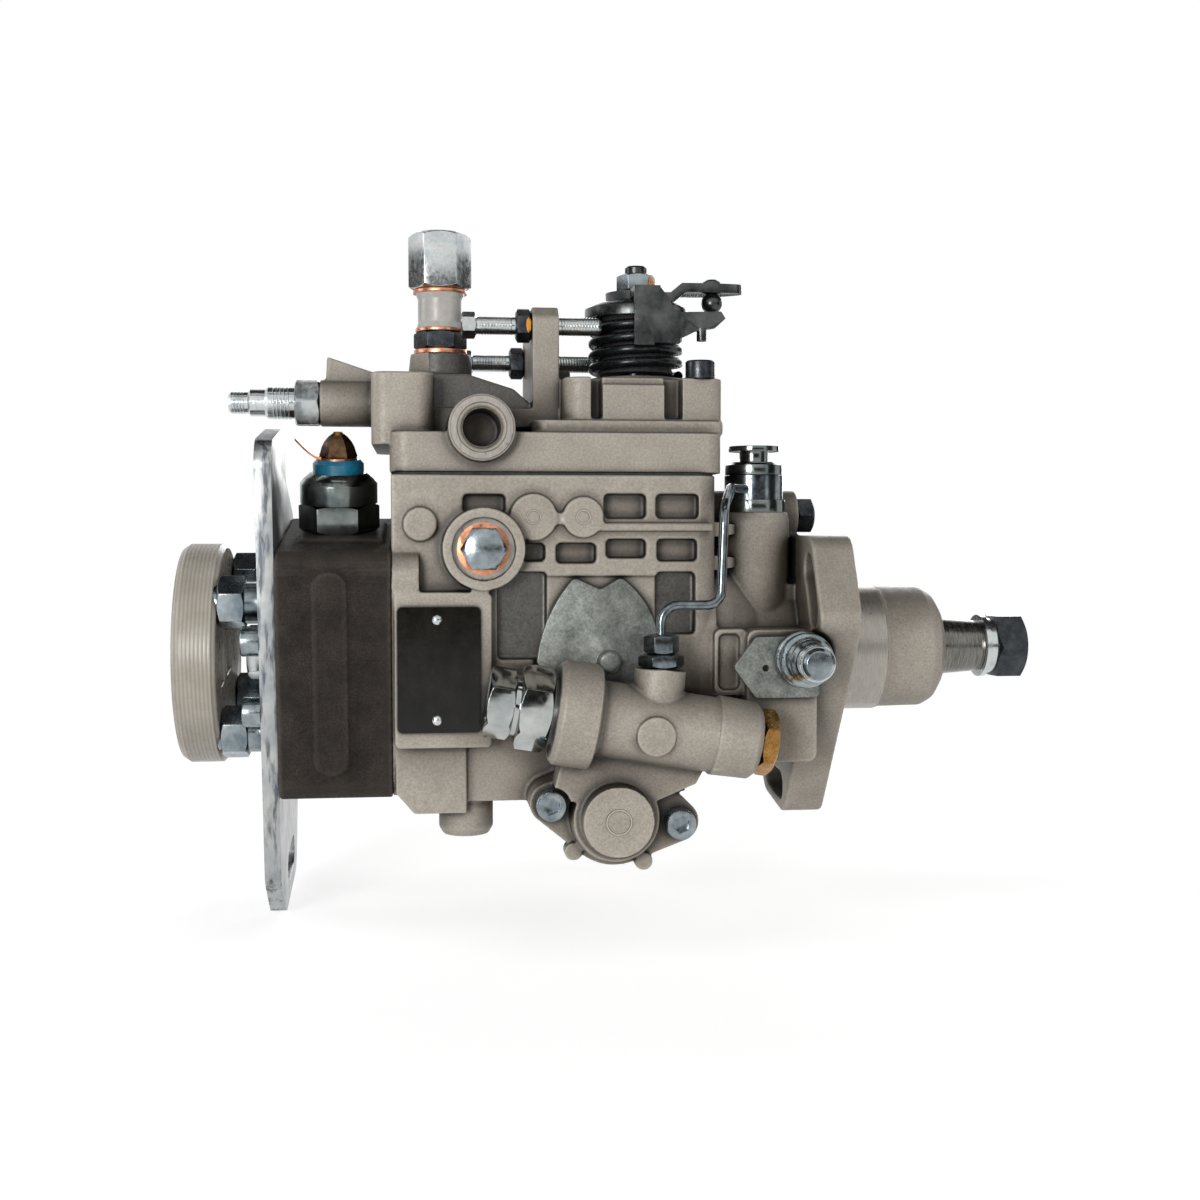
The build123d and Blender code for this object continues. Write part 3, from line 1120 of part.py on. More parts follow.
def throttle_spring():
    """Torsion return spring round the throttle shaft."""
    return coil((THROTTLE_X, 0, 98.1), (0, 0, 1), 15.4, 1.6, 4.5, 20.4)


# ---------------------------------------------------------------- fasteners
def socket_screws():
    """Every M6 socket screw: cover, both timing covers and head."""
    solids = []
    for x, y, seat_z in COVER_SCREWS:
        solids.append(socket_screw((x, y, seat_z), (0, 0, 1), seat_z - COVER_JOINT_Z + 12))
    for y_side in (-1, 1):
        for x_side in (-1, 1):
            seat = (x_side * TIMING_SCREW_REACH, y_side * (TIMING_FACE_Y + TIMING_LUG_THICKNESS), 0)
            solids.append(on_timing(socket_screw(seat, (0, y_side, 0), 16)))
    for y, z in HEAD_SCREWS:
        solids.append(in_head(socket_screw((HEAD_END_X - BRACKET_THICKNESS, y, z), (-1, 0, 0), 18)))
    return group(*solids)


NODES = {
    "pump_housing": pump_housing,
    "governor_cover": governor_cover,
    "cover_gasket": cover_gasket,
    "socket_screws": socket_screws,
    "distributor_head": distributor_head,
    "delivery_valve_holders": delivery_valve_holders,
    "head_plug": head_plug,
    "outlet_cap": outlet_cap,
    "rear_bracket": rear_bracket,
    "solenoid_body": solenoid_body,
    "solenoid_insulator": solenoid_insulator,
    "solenoid_terminal": solenoid_terminal,
    "solenoid_armature": solenoid_armature,
    "overflow_bolt": overflow_bolt,
    "overflow_spacer": overflow_spacer,
    "overflow_fitting": overflow_fitting,
    "copper_washers": copper_washers,
    "full_load_screw": full_load_screw,
    "stop_screws": stop_screws,
    "lock_nuts": lock_nuts,
    "pressure_regulator": pressure_regulator,
    "fuel_pipe": fuel_pipe,
    "pipe_nut": pipe_nut,
    "timing_cover": timing_cover,
    "cold_start_fitting": cold_start_fitting,
    "cold_start_plug": cold_start_plug,
    "spring_side_cover": spring_side_cover,
    "timing_piston": timing_piston,
    "timing_spring": timing_spring,
    "name_plate": name_plate,
    "side_plug": side_plug,
    "side_plate": side_plate,
    "lock_plate": lock_plate,
    "lock_bolt": lock_bolt,
    "drive_shaft": drive_shaft,
    "shaft_key": shaft_key,
    "shaft_washer": shaft_washer,
    "shaft_nut": shaft_nut,
    "shaft_bush": bush,
    "shaft_seal": shaft_seal,
    "vane_ring": vane_ring,
    "vane_rotor": vane_rotor,
    "drive_gear": drive_gear,
    "governor_gear": governor_gear,
    "flyweights": flyweights,
    "governor_shaft": governor_shaft,
    "governor_sleeve": governor_sleeve,
    "governor_lever": governor_lever,
    "governor_spring": governor_spring,
    "control_collar": control_collar,
    "roller_ring": roller_ring,
    "rollers": rollers,
    "cam_plate": cam_plate,
    "plunger": plunger,
    "plunger_springs": plunger_springs,
    "throttle_shaft": throttle_shaft,
    "throttle_lever": throttle_lever,
    "throttle_nut": throttle_nut,
    "throttle_spring": throttle_spring,
}

for node_name, build_node in NODES.items():
    save(node_name, build_node())
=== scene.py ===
import json
import math
import random

import bmesh
import bpy
from mathutils import Matrix, Vector

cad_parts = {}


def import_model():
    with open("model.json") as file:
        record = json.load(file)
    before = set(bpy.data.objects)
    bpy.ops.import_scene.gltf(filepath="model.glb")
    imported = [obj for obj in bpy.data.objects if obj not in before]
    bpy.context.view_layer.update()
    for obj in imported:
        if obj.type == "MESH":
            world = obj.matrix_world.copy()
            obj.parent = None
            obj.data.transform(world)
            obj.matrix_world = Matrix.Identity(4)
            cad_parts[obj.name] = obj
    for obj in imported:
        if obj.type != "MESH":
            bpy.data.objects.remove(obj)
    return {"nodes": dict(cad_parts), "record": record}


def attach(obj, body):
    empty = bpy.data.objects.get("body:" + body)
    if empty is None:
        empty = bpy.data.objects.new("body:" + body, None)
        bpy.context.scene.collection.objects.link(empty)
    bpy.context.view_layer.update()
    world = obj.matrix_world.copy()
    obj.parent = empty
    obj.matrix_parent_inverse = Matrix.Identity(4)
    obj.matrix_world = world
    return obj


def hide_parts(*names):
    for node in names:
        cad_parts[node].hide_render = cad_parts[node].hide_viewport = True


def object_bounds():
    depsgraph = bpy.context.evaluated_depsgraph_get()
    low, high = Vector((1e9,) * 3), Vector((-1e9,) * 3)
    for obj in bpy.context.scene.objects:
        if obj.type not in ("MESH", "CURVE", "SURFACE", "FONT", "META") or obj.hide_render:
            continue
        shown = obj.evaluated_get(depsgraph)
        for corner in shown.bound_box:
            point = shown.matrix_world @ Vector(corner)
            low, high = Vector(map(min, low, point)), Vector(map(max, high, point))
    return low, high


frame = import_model()
CAD_BOX = [list(corner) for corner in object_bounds()]
MM = 0.001

# ---------------------------------------------------------------- places and measures, in millimetres
HEAD_TURN = math.radians(9.0)        # the head group leans by this angle about X
TIMING_LEAN = math.radians(9.2)      # the timing cover leans by this angle about Y
TIMING_CENTRE = Vector((-81.0, 0.0, -50.0))
THROTTLE_X = -67.0                   # of the throttle shaft, its spring and guide
SOLENOID_X = -171.9                  # of the stop solenoid and its terminal
LOCK_BOLT_X = -18.0
FULL_LOAD_AXIS = (-8.0, 86.4)        # Y and Z of the full-load screw
OUTLET_CIRCLE = 31.5                 # radius on which the four outlets stand
HOUSING_HALF_WIDTH = 42.0
POCKET_DEPTH = 4.0
CAP_RIB_PITCH = 1.3                  # of the fine ribs round the transport cap's rim
UP = (0, 0, 1)
NEAR = (0, -1, 0)                    # out of the side that carries the name plate
TO_DRIVE = (1, 0, 0)
TO_HEAD = (-1, 0, 0)


def head_point(x, y, z):
    """Point given in the head's own upright axes, in millimetres."""
    return Matrix.Rotation(HEAD_TURN, 3, "X") @ Vector((x, y, z))


def timing_point(x, y, z):
    """Point given in the timing cover's own axes, in millimetres."""
    return Matrix.Rotation(TIMING_LEAN, 3, "Y") @ Vector((x, y, z)) + TIMING_CENTRE


HEAD_UP = head_point(*UP)


# ---------------------------------------------------------------- surface finishes
WHITE = (1.0, 1.0, 1.0)


class Surface:
    """One material, built up from noise, ramps and bumps."""

    def __init__(self, name):
        self.material = bpy.data.materials.new(name)
        self.material.use_nodes = True
        self.tree = self.material.node_tree
        self.shader = self.tree.nodes["Principled BSDF"]
        self.coords = self.tree.nodes.new("ShaderNodeTexCoord").outputs["Object"]

    def node(self, kind, **values):
        """New node whose inputs or settings take the given values."""
        made = self.tree.nodes.new(kind)
        for name, value in values.items():
            if name in made.inputs:
                made.inputs[name].default_value = value
            else:
                setattr(made, name, value)
        return made

    def join(self, source, target):
        """Feeds one socket from another."""
        self.tree.links.new(source, target)

    def stretched(self, scale):
        """The piece's own coordinates, scaled along each axis: a small share draws streaks out."""
        mapping = self.node("ShaderNodeMapping")
        mapping.inputs["Scale"].default_value = scale
        self.join(self.coords, mapping.inputs["Vector"])
        return mapping.outputs["Vector"]

    def noise(self, size, detail=3.0, roughness=0.55, vector=None):
        """Noise whose features are about the given size in millimetres."""
        made = self.node("ShaderNodeTexNoise", Scale=1.0 / (size * MM), Detail=detail, Roughness=roughness)
        self.join(vector or self.coords, made.inputs["Vector"])
        return made.outputs["Fac"]

    def ramp(self, source, *stops):
        """Colour or grey ramp through (position, value) stops."""
        made = self.node("ShaderNodeValToRGB")
        bar = made.color_ramp
        while len(bar.elements) < len(stops):
            bar.elements.new(0.5)
        for element, (position, value) in zip(bar.elements, stops):
            element.position = position
            grey = (value, value, value) if isinstance(value, float) else value
            element.color = (*grey, 1.0)
        self.join(source, made.inputs["Fac"])
        return made.outputs["Color"]

    def mix(self, factor, first, second, mode="MIX"):
        """Two colours blended by a factor; each may be a value or another node's output."""
        made = self.node("ShaderNodeMix", data_type="RGBA", blend_type=mode)
        for name, value in (("Factor", factor), ("A", first), ("B", second)):
            socket = made.inputs[name]
            if isinstance(value, bpy.types.NodeSocket):
                self.join(value, socket)
            elif isinstance(value, float):
                socket.default_value = value
            else:
                socket.default_value = (*value, 1.0)
        return made.outputs["Result"]

    def times(self, first, second):
        """Two colours multiplied."""
        return self.mix(1.0, first, second, "MULTIPLY")

    def bump(self, *layers):
        """Bump layers of (height, strength, depth in millimetres)."""
        normal = None
        for height, strength, depth in layers:
            made = self.node("ShaderNodeBump", Strength=strength, Distance=depth * MM)
            self.join(height, made.inputs["Height"])
            if normal is not None:
                self.join(normal, made.inputs["Normal"])
            normal = made.outputs["Normal"]
        self.join(normal, self.shader.inputs["Normal"])

    def edges(self, low, high):
        """Mask from the mesh's own curvature, 1 on ridges and 0 in hollows, for painted highlights on ridges.
        """
        geometry = self.node("ShaderNodeNewGeometry")
        return self.ramp(geometry.outputs["Pointiness"], (low, 0.0), (high, 1.0))

    def normal_part(self, axis):
        """The part of the surface's normal along one axis."""
        geometry = self.node("ShaderNodeNewGeometry")
        split = self.node("ShaderNodeSeparateXYZ")
        self.join(geometry.outputs["Normal"], split.inputs[0])
        return split.outputs[axis]

    def upward(self, low, high):
        """Rises from 0 to 1 on faces that look up: mask for painted shade on upper faces."""
        return self.ramp(self.normal_part("Z"), (low, 0.0), (high, 1.0))

    def flat_face(self):
        """1 on a sheet's two faces across X, and 0 on its sheared edges."""
        size = self.node("ShaderNodeMath", operation="ABSOLUTE")
        self.join(self.normal_part("X"), size.inputs[0])
        return self.ramp(size.outputs[0], (0.5, 0.0), (0.85, 1.0))

    def crevice(self, reach):
        """Falls below 1 where other surfaces stand within the given reach in millimetres: mask for painted
        shade.
        """
        made = self.node("ShaderNodeAmbientOcclusion", samples=8, Distance=reach * MM)
        return made.outputs["AO"]

    def set(self, **values):
        """Sets plain values of the shader, with _ for a space in a name."""
        for name, value in values.items():
            self.shader.inputs[name.replace("_", " ")].default_value = value

    def colour(self, source):
        """Takes the base colour from a socket."""
        self.join(source, self.shader.inputs["Base Color"])

    def two_tone(self, size, detail, dark, light):
        """Base colour that drifts between two tones in patches of about the given size."""
        self.colour(self.ramp(self.noise(size, detail), (0.3, dark), (0.7, light)))

    def rough(self, source, low, high):
        """Lets the roughness drift between two values."""
        self.join(self.ramp(source, (0.3, low), (0.7, high)), self.shader.inputs["Roughness"])


def cast_aluminium():
    """Warm grey die casting: sandy grain, ridges lightened by rubbed wear and painted highlight, and painted
    shade in hollows, in inside corners and on faces that look up.
    """
    made = Surface("cast_aluminium")
    patches = made.ramp(made.noise(14, 4), (0.3, (0.345, 0.308, 0.258)), (0.7, (0.435, 0.393, 0.335)))
    grain = made.ramp(made.noise(0.8, 4, 0.75), (0.34, (0.62, 0.62, 0.62)), (0.66, (1.20, 1.20, 1.20)))
    colour = made.mix(0.7, patches, made.times(patches, grain))
    # ridges lightened: partly rubbed wear, partly painted highlight
    ridge = made.edges(0.505, 0.57)
    colour = made.mix(ridge, colour, made.mix(0.5, colour, (0.66, 0.61, 0.53)))
    # painted shade: darker in recesses and in inside corners, where shade falls
    painted_recess_shade = made.ramp(made.crevice(20.0), (0.50, (0.17, 0.155, 0.14)), (0.99, WHITE))
    corner = made.ramp(made.crevice(3.4), (0.56, (0.05, 0.042, 0.035)), (0.97, WHITE))
    shade = made.times(painted_recess_shade, corner)
    # painted shade: faces that look up are painted darker
    painted_top_shade = made.mix(made.upward(0.15, 0.85), WHITE, (0.58, 0.58, 0.57))
    made.colour(made.times(made.times(colour, shade), painted_top_shade))
    made.rough(made.noise(2.5), 0.42, 0.58)
    made.set(Metallic=0.06)
    sand = made.noise(0.5, 4, 0.65)
    ripple = made.noise(3.2, 3)
    waves = made.noise(16, 2)
    made.bump((sand, 0.38, 0.16), (ripple, 0.25, 0.22), (waves, 0.2, 0.5))
    return made.material


def painted_shade_aluminium():
    """The same casting painted dark all over: painted shade for faces that lie in shade."""
    made = Surface("painted_shade_aluminium")
    grain = made.ramp(made.noise(0.8, 4, 0.75), (0.34, (0.055, 0.052, 0.047)), (0.66, (0.115, 0.110, 0.100)))
    # painted shade in inside corners
    corner = made.ramp(made.crevice(2.6), (0.46, (0.2, 0.2, 0.2)), (0.92, WHITE))
    made.colour(made.times(grain, corner))
    made.rough(made.noise(2.5), 0.28, 0.45)
    made.set(Metallic=0.4)
    made.bump((made.noise(0.5, 4, 0.65), 0.3, 0.14), (made.noise(3.2, 3), 0.25, 0.22))
    return made.material


def machined_aluminium():
    """Turned or milled face of the casting: bright, with fine concentric tool marks."""
    made = Surface("machined_aluminium")
    lines = made.noise(0.35, 2, 0.5, made.stretched((1.0, 0.08, 0.08)))
    made.colour(made.ramp(lines, (0.3, (0.33, 0.305, 0.27)), (0.7, (0.46, 0.43, 0.39))))
    made.rough(made.noise(1.8), 0.26, 0.40)
    made.set(Metallic=0.7)
    made.bump((lines, 0.22, 0.05), (made.noise(5), 0.1, 0.1))
    return made.material


def head_phosphate():
    """Dark brown-black phosphate over a rough steel casting."""
    made = Surface("head_phosphate")
    patches = made.ramp(made.noise(9, 4), (0.3, (0.011, 0.0085, 0.007)), (0.7, (0.032, 0.0265, 0.022)))
    speck = made.ramp(made.noise(0.45, 4, 0.75), (0.38, (0.45, 0.45, 0.45)), (0.66, (1.7, 1.65, 1.6)))
    colour = made.times(patches, speck)
    # painted highlight: ridges lighter
    ridge = made.edges(0.50, 0.58)
    made.colour(made.mix(ridge, colour, (0.115, 0.10, 0.085)))
    made.rough(made.noise(1.2), 0.55, 0.78)
    made.set(Specular_IOR_Level=0.18)
    made.bump((made.noise(0.45, 5, 0.7), 0.55, 0.22), (made.noise(2.4, 3), 0.35, 0.3))
    return made.material


def zinc_plate():
    """Bright zinc over sheared plate: a faint blue and straw tint, rolled grain and handling marks."""
    made = Surface("zinc_plate")
    tint = made.ramp(
        made.noise(13, 3),
        (0.32, (0.25, 0.275, 0.295)),
        (0.5, (0.37, 0.39, 0.395)),
        (0.70, (0.50, 0.505, 0.48)),
    )
    grain = made.noise(0.9, 3, 0.6, made.stretched((0.25, 1.0, 0.12)))
    streaks = made.noise(2.4, 4, 0.6, made.stretched((1.0, 1.0, 0.015)))
    marks = made.ramp(streaks, (0.36, (0.30, 0.32, 0.35)), (0.50, WHITE))
    marks = made.mix(made.flat_face(), marks, WHITE)
    rolled = made.mix(0.18, tint, made.ramp(grain, (0.3, 0.35), (0.7, 0.7)))
    made.colour(made.times(rolled, marks))
    made.rough(made.noise(3.0, 4), 0.28, 0.42)
    made.set(Metallic=1.0)
    made.bump((grain, 0.12, 0.05), (made.noise(9.0, 2), 0.12, 0.2))
    return made.material


def zinc_bolt():
    """Bright zinc on turned and forged fasteners."""
    made = Surface("zinc_bolt")
    tint = made.ramp(
        made.noise(6, 3),
        (0.30, (0.44, 0.49, 0.505)),
        (0.5, (0.58, 0.61, 0.61)),
        (0.75, (0.63, 0.64, 0.605)),
    )
    spots = made.ramp(made.noise(0.9, 3, 0.6), (0.30, (0.84, 0.85, 0.85)), (0.5, WHITE))
    made.colour(made.times(tint, spots))
    made.rough(made.noise(1.8, 3), 0.15, 0.27)
    made.set(Metallic=1.0)
    made.bump((made.noise(0.8, 2), 0.06, 0.04), (made.noise(5.0, 2), 0.08, 0.1))
    return made.material


def dull_zinc():
    """Grey zinc of the pressed cover plates, matt and scuffed, with painted shade in its inside corners."""
    made = Surface("dull_zinc")
    tint = made.ramp(
        made.noise(7, 5, 0.65),
        (0.32, (0.13, 0.14, 0.128)),
        (0.5, (0.195, 0.208, 0.19)),
        (0.7, (0.275, 0.288, 0.265)),
    )
    scuffs = made.ramp(made.noise(0.8, 6, 0.75), (0.38, (0.7, 0.7, 0.7)), (0.60, (1.25, 1.25, 1.25)))
    # painted shade in inside corners
    corner = made.ramp(made.crevice(1.6), (0.35, (0.25, 0.24, 0.22)), (0.85, WHITE))
    made.colour(made.times(made.times(tint, scuffs), corner))
    made.rough(made.noise(2.0, 4), 0.30, 0.48)
    made.set(Metallic=0.6)
    made.bump((made.noise(0.6, 4), 0.2, 0.06), (made.noise(8, 2), 0.15, 0.2))
    return made.material


def smoked_zinc():
    """Dark passivated zinc: near-mirror, greenish black with straw glints."""
    made = Surface("smoked_zinc")
    made.two_tone(7, 3, (0.10, 0.125, 0.125), (0.24, 0.26, 0.245))
    made.rough(made.noise(1.8, 3), 0.12, 0.24)
    made.set(Metallic=1.0)
    made.bump((made.noise(0.8, 2), 0.06, 0.04), (made.noise(6.0, 2), 0.08, 0.1))
    return made.material


def blued_zinc():
    """Blue passivated zinc, darker than the bright plating."""
    made = Surface("blued_zinc")
    made.two_tone(5, 3, (0.15, 0.19, 0.215), (0.36, 0.40, 0.41))
    made.rough(made.noise(1.6, 3), 0.17, 0.30)
    made.set(Metallic=1.0)
    made.bump((made.noise(0.8, 2), 0.06, 0.04), (made.noise(5.0, 2), 0.08, 0.1))
    return made.material


def dark_bronze():
    """Browned bronze of the solenoid's terminal nut."""
    made = Surface("dark_bronze")
    made.two_tone(3, 3, (0.040, 0.022, 0.011), (0.150, 0.090, 0.048))
    made.rough(made.noise(1.2, 3), 0.20, 0.34)
    made.set(Metallic=0.95)
    made.bump((made.noise(0.8, 2), 0.08, 0.05))
    return made.material


def dark_steel():
    """Dark blued steel whose tone drifts in small patches."""
    made = Surface("dark_steel")
    made.two_tone(4, 4, (0.022, 0.026, 0.030), (0.075, 0.082, 0.088))
    made.rough(made.noise(0.9, 4), 0.22, 0.42)
    made.set(Metallic=0.85)
    made.bump((made.noise(0.5, 4), 0.16, 0.06))
    return made.material


def spring_wire():
    """Black oiled spring wire with drawn streaks."""
    made = Surface("spring_wire")
    made.two_tone(1.5, 4, (0.008, 0.010, 0.011), (0.035, 0.040, 0.042))
    made.rough(made.noise(0.8, 3), 0.18, 0.34)
    made.set(Metallic=0.7)
    made.bump((made.noise(0.4, 3), 0.12, 0.05))
    return made.material


def chrome_fitting():
    """Polished nickel plating with faint polishing haze."""
    made = Surface("chrome_fitting")
    made.two_tone(6, 3, (0.34, 0.37, 0.37), (0.50, 0.51, 0.49))
    made.rough(made.noise(1.6, 4), 0.06, 0.15)
    made.set(Metallic=1.0)
    made.bump((made.noise(0.8, 3), 0.03, 0.03))
    return made.material


def pipe_steel():
    """Plated steel tube, drawn lengthwise."""
    made = Surface("pipe_steel")
    made.two_tone(3, 4, (0.075, 0.095, 0.105), (0.24, 0.27, 0.28))
    made.rough(made.noise(1.4, 3), 0.14, 0.26)
    made.set(Metallic=1.0)
    made.bump((made.noise(0.8, 2), 0.06, 0.04))
    return made.material


def lever_steel():
    """Pressed lever steel: dark olive-grey chromate over rolled sheet."""
    made = Surface("lever_steel")
    made.two_tone(6, 3, (0.028, 0.032, 0.033), (0.115, 0.122, 0.118))
    made.rough(made.noise(1.4, 3), 0.22, 0.34)
    made.set(Metallic=0.95)
    made.bump((made.noise(1.6, 2), 0.05, 0.05), (made.noise(5, 2), 0.08, 0.1))
    return made.material


def shaft_steel():
    """Ground steel with turning marks round the shaft."""
    made = Surface("shaft_steel")
    lines = made.noise(0.3, 2, 0.5, made.stretched((1.0, 0.06, 0.06)))
    made.colour(made.ramp(lines, (0.3, (0.10, 0.095, 0.086)), (0.7, (0.25, 0.24, 0.22))))
    made.rough(made.noise(1.5), 0.18, 0.32)
    made.set(Metallic=1.0)
    made.bump((lines, 0.15, 0.04))
    return made.material


def copper():
    """Bare copper washer, dull and faintly stained."""
    made = Surface("copper")
    made.two_tone(1.6, 4, (0.50, 0.20, 0.11), (0.76, 0.36, 0.22))
    made.rough(made.noise(0.8), 0.26, 0.42)
    made.set(Metallic=1.0)
    made.bump((made.noise(0.4, 3), 0.15, 0.05))
    return made.material


def brass():
    """Machined brass with a little tarnish."""
    made = Surface("brass")
    base = made.ramp(made.noise(3, 4), (0.3, (0.30, 0.145, 0.038)), (0.7, (0.50, 0.275, 0.085)))
    spots = made.ramp(made.noise(0.6, 4, 0.7), (0.34, (0.6, 0.55, 0.5)), (0.55, WHITE))
    made.colour(made.times(base, spots))
    made.rough(made.noise(1.0), 0.22, 0.40)
    made.set(Metallic=1.0)
    made.bump((made.noise(0.5, 3), 0.14, 0.05))
    return made.material


def bronze():
    """Sintered bronze of the shaft bush."""
    made = Surface("bronze")
    made.two_tone(0.8, 4, (0.22, 0.13, 0.06), (0.42, 0.27, 0.14))
    made.rough(made.noise(0.8), 0.35, 0.5)
    made.set(Metallic=0.9)
    made.bump((made.noise(0.3, 3), 0.2, 0.05))
    return made.material


def rubber():
    """Matt black rubber with a bloom of dust."""
    made = Surface("rubber")
    made.two_tone(2.0, 4, (0.012, 0.012, 0.012), (0.035, 0.034, 0.033))
    made.rough(made.noise(0.9), 0.6, 0.8)
    made.bump((made.noise(0.4, 3), 0.2, 0.06))
    return made.material


def cap_plastic():
    """Cloudy polyethylene of the transport cap, with fine ribs round its rim, painted shade along the rib
    grooves and painted shade in its hollows.
    """
    made = Surface("cap_plastic")
    cloud = made.ramp(made.noise(12, 3), (0.3, (0.36, 0.33, 0.28)), (0.7, (0.465, 0.435, 0.38)))
    ribs = made.node("ShaderNodeTexWave", Scale=math.pi / (10 * CAP_RIB_PITCH * MM), Distortion=0.0)
    ribs.bands_direction = "X"
    made.join(made.coords, ribs.inputs["Vector"])
    # painted shade: darker bands along the rib grooves
    lines = made.ramp(ribs.outputs["Fac"], (0.15, (0.80, 0.78, 0.75)), (0.75, WHITE))
    # painted shade in hollows
    shade = made.ramp(made.crevice(4.0), (0.2, (0.42, 0.38, 0.33)), (0.9, WHITE))
    made.colour(made.times(made.times(cloud, lines), shade))
    made.rough(made.noise(2.5), 0.24, 0.36)
    made.set(IOR=1.4)
    made.bump((ribs.outputs["Fac"], 0.4, 0.2), (made.noise(7, 2), 0.08, 0.2))
    return made.material


def blue_plastic():
    """Moulded blue insulator."""
    made = Surface("blue_plastic")
    made.two_tone(2.4, 4, (0.004, 0.105, 0.19), (0.008, 0.175, 0.28))
    made.rough(made.noise(1.0), 0.26, 0.42)
    made.set(Coat_Weight=0.2)
    made.bump((made.noise(0.5, 3), 0.12, 0.05))
    return made.material


def white_plastic():
    """Milky white spacer, slightly waxy."""
    made = Surface("white_plastic")
    made.two_tone(3.0, 4, (0.42, 0.405, 0.375), (0.53, 0.515, 0.49))
    made.rough(made.noise(1.2), 0.26, 0.4)
    made.set(Subsurface_Weight=0.3, Subsurface_Scale=0.003)
    made.bump((made.noise(1.0, 3), 0.08, 0.08))
    return made.material


def black_plate():
    """Glossy black enamel on a thin plate, with wipe marks."""
    made = Surface("black_plate")
    made.two_tone(5, 4, (0.004, 0.0038, 0.003), (0.011, 0.010, 0.007))
    wipes = made.noise(3.0, 5, 0.7, made.stretched((1.0, 1.0, 0.15)))
    made.rough(wipes, 0.06, 0.20)
    made.set(Specular_IOR_Level=0.28)
    made.bump((made.noise(4.0, 3), 0.10, 0.15))
    return made.material


def orange_paint():
    """Inspector's paint dab, brushed on thick."""
    made = Surface("orange_paint")
    made.two_tone(1.0, 4, (0.55, 0.20, 0.015), (0.80, 0.36, 0.03))
    made.rough(made.noise(0.6), 0.35, 0.55)
    made.bump((made.noise(0.5, 4), 0.4, 0.1))
    return made.material


FINISHES = {
    "cast_aluminium": cast_aluminium(),
    "head_phosphate": head_phosphate(),
    "zinc_plate": zinc_plate(),
    "zinc_bolt": zinc_bolt(),
    "dark_steel": dark_steel(),
    "chrome_fitting": chrome_fitting(),
    "pipe_steel": pipe_steel(),
    "lever_steel": lever_steel(),
    "shaft_steel": shaft_steel(),
    "spring_steel": spring_wire(),
    "copper": copper(),
    "brass": brass(),
    "bronze": bronze(),
    "rubber": rubber(),
    "cap_plastic": cap_plastic(),
    "blue_plastic": blue_plastic(),
    "white_plastic": white_plastic(),
    "black_plate": black_plate(),
}
MACHINED = machined_aluminium()
SMOKED = smoked_zinc()
DULL = dull_zinc()
PAINTED_SHADE = painted_shade_aluminium()
BLUED = blued_zinc()
PAINT = orange_paint()
NODE_SLOT = {part["node"]: part["material_slot"] for part in frame["record"]["subparts"]}
NODE_BODY = {node: body for body, nodes in frame["record"]["behaviour"]["bodies"].items() for node in nodes}


# ---------------------------------------------------------------- making pieces
WELD_DISTANCE = 0.002                # corners closer than this are one corner
ROUNDING_PASSES = 3
FLAT_ANGLE = 0.4                     # in degrees: faces this near to one plane are one face
BEVEL_ANGLE = 32.0                   # in degrees: edges sharper than this are broken
SHARP_ANGLE = 50.0                   # in degrees: edges sharper than this stay crisp


def placed(name, data):
    """New object in the scene."""
    made = bpy.data.objects.new(name, data)
    bpy.context.scene.collection.objects.link(made)
    return made


def applied(piece):
    """The piece's mesh as its modifiers or its curve make it."""
    return bpy.data.meshes.new_from_object(piece.evaluated_get(bpy.context.evaluated_depsgraph_get()))


def finish_piece(piece, body, slot, material=None):
    """Gives a new piece its body and its material: the slot's finish unless another is given."""
    piece.data.materials.clear()
    piece.data.materials.append(material or FINISHES[slot])
    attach(piece, body)


def piece_from(name, mesh_data, body, slot, material=None, smooth_angle=40.0):
    """Adds a piece whose form was drawn in millimetres."""
    bmesh.ops.scale(mesh_data, vec=(MM, MM, MM), verts=mesh_data.verts)
    bmesh.ops.recalc_face_normals(mesh_data, faces=mesh_data.faces)
    mesh = bpy.data.meshes.new(name)
    mesh_data.to_mesh(mesh)
    mesh_data.free()
    mesh.shade_smooth()
    mesh.set_sharp_from_angle(angle=math.radians(smooth_angle))
    finish_piece(placed(name, mesh), body, slot, material)


def axis_frame(direction):
    """Rotation that takes +Z to the direction."""
    return Vector(UP).rotation_difference(Vector(direction).normalized()).to_matrix()


def bridge(mesh_data, rings):
    """Joins each ring of corners to the next one with four-sided faces."""
    count = len(rings[0])
    for low, high in zip(rings, rings[1:]):
        for step in range(count):
            following = (step + 1) % count
            mesh_data.faces.new((low[step], low[following], high[following], high[step]))


def close_ends(mesh_data, rings):
    """Puts a flat face over the first and the last ring."""
    mesh_data.faces.new(list(reversed(rings[0])))
    mesh_data.faces.new(rings[-1])


def add_lathe(mesh_data, origin, direction, stations, segments=48, closed=True):
    """Surface of revolution through (along, radius) stations. A closed one gets its two end faces."""
    turn = axis_frame(direction)
    rings = []
    for along, radius in stations:
        ring = []
        for step in range(segments):
            angle = 2 * math.pi * step / segments
            local = Vector((radius * math.cos(angle), radius * math.sin(angle), along))
            ring.append(mesh_data.verts.new(Vector(origin) + turn @ local))
        rings.append(ring)
    bridge(mesh_data, rings)
    if closed:
        close_ends(mesh_data, rings)
    return rings


def add_ring(mesh_data, origin, direction, profile, segments=64):
    """Closed ring whose cross-section is a list of (along, radius) points."""
    rings = add_lathe(mesh_data, origin, direction, profile, segments, closed=False)
    bridge(mesh_data, [rings[-1], rings[0]])


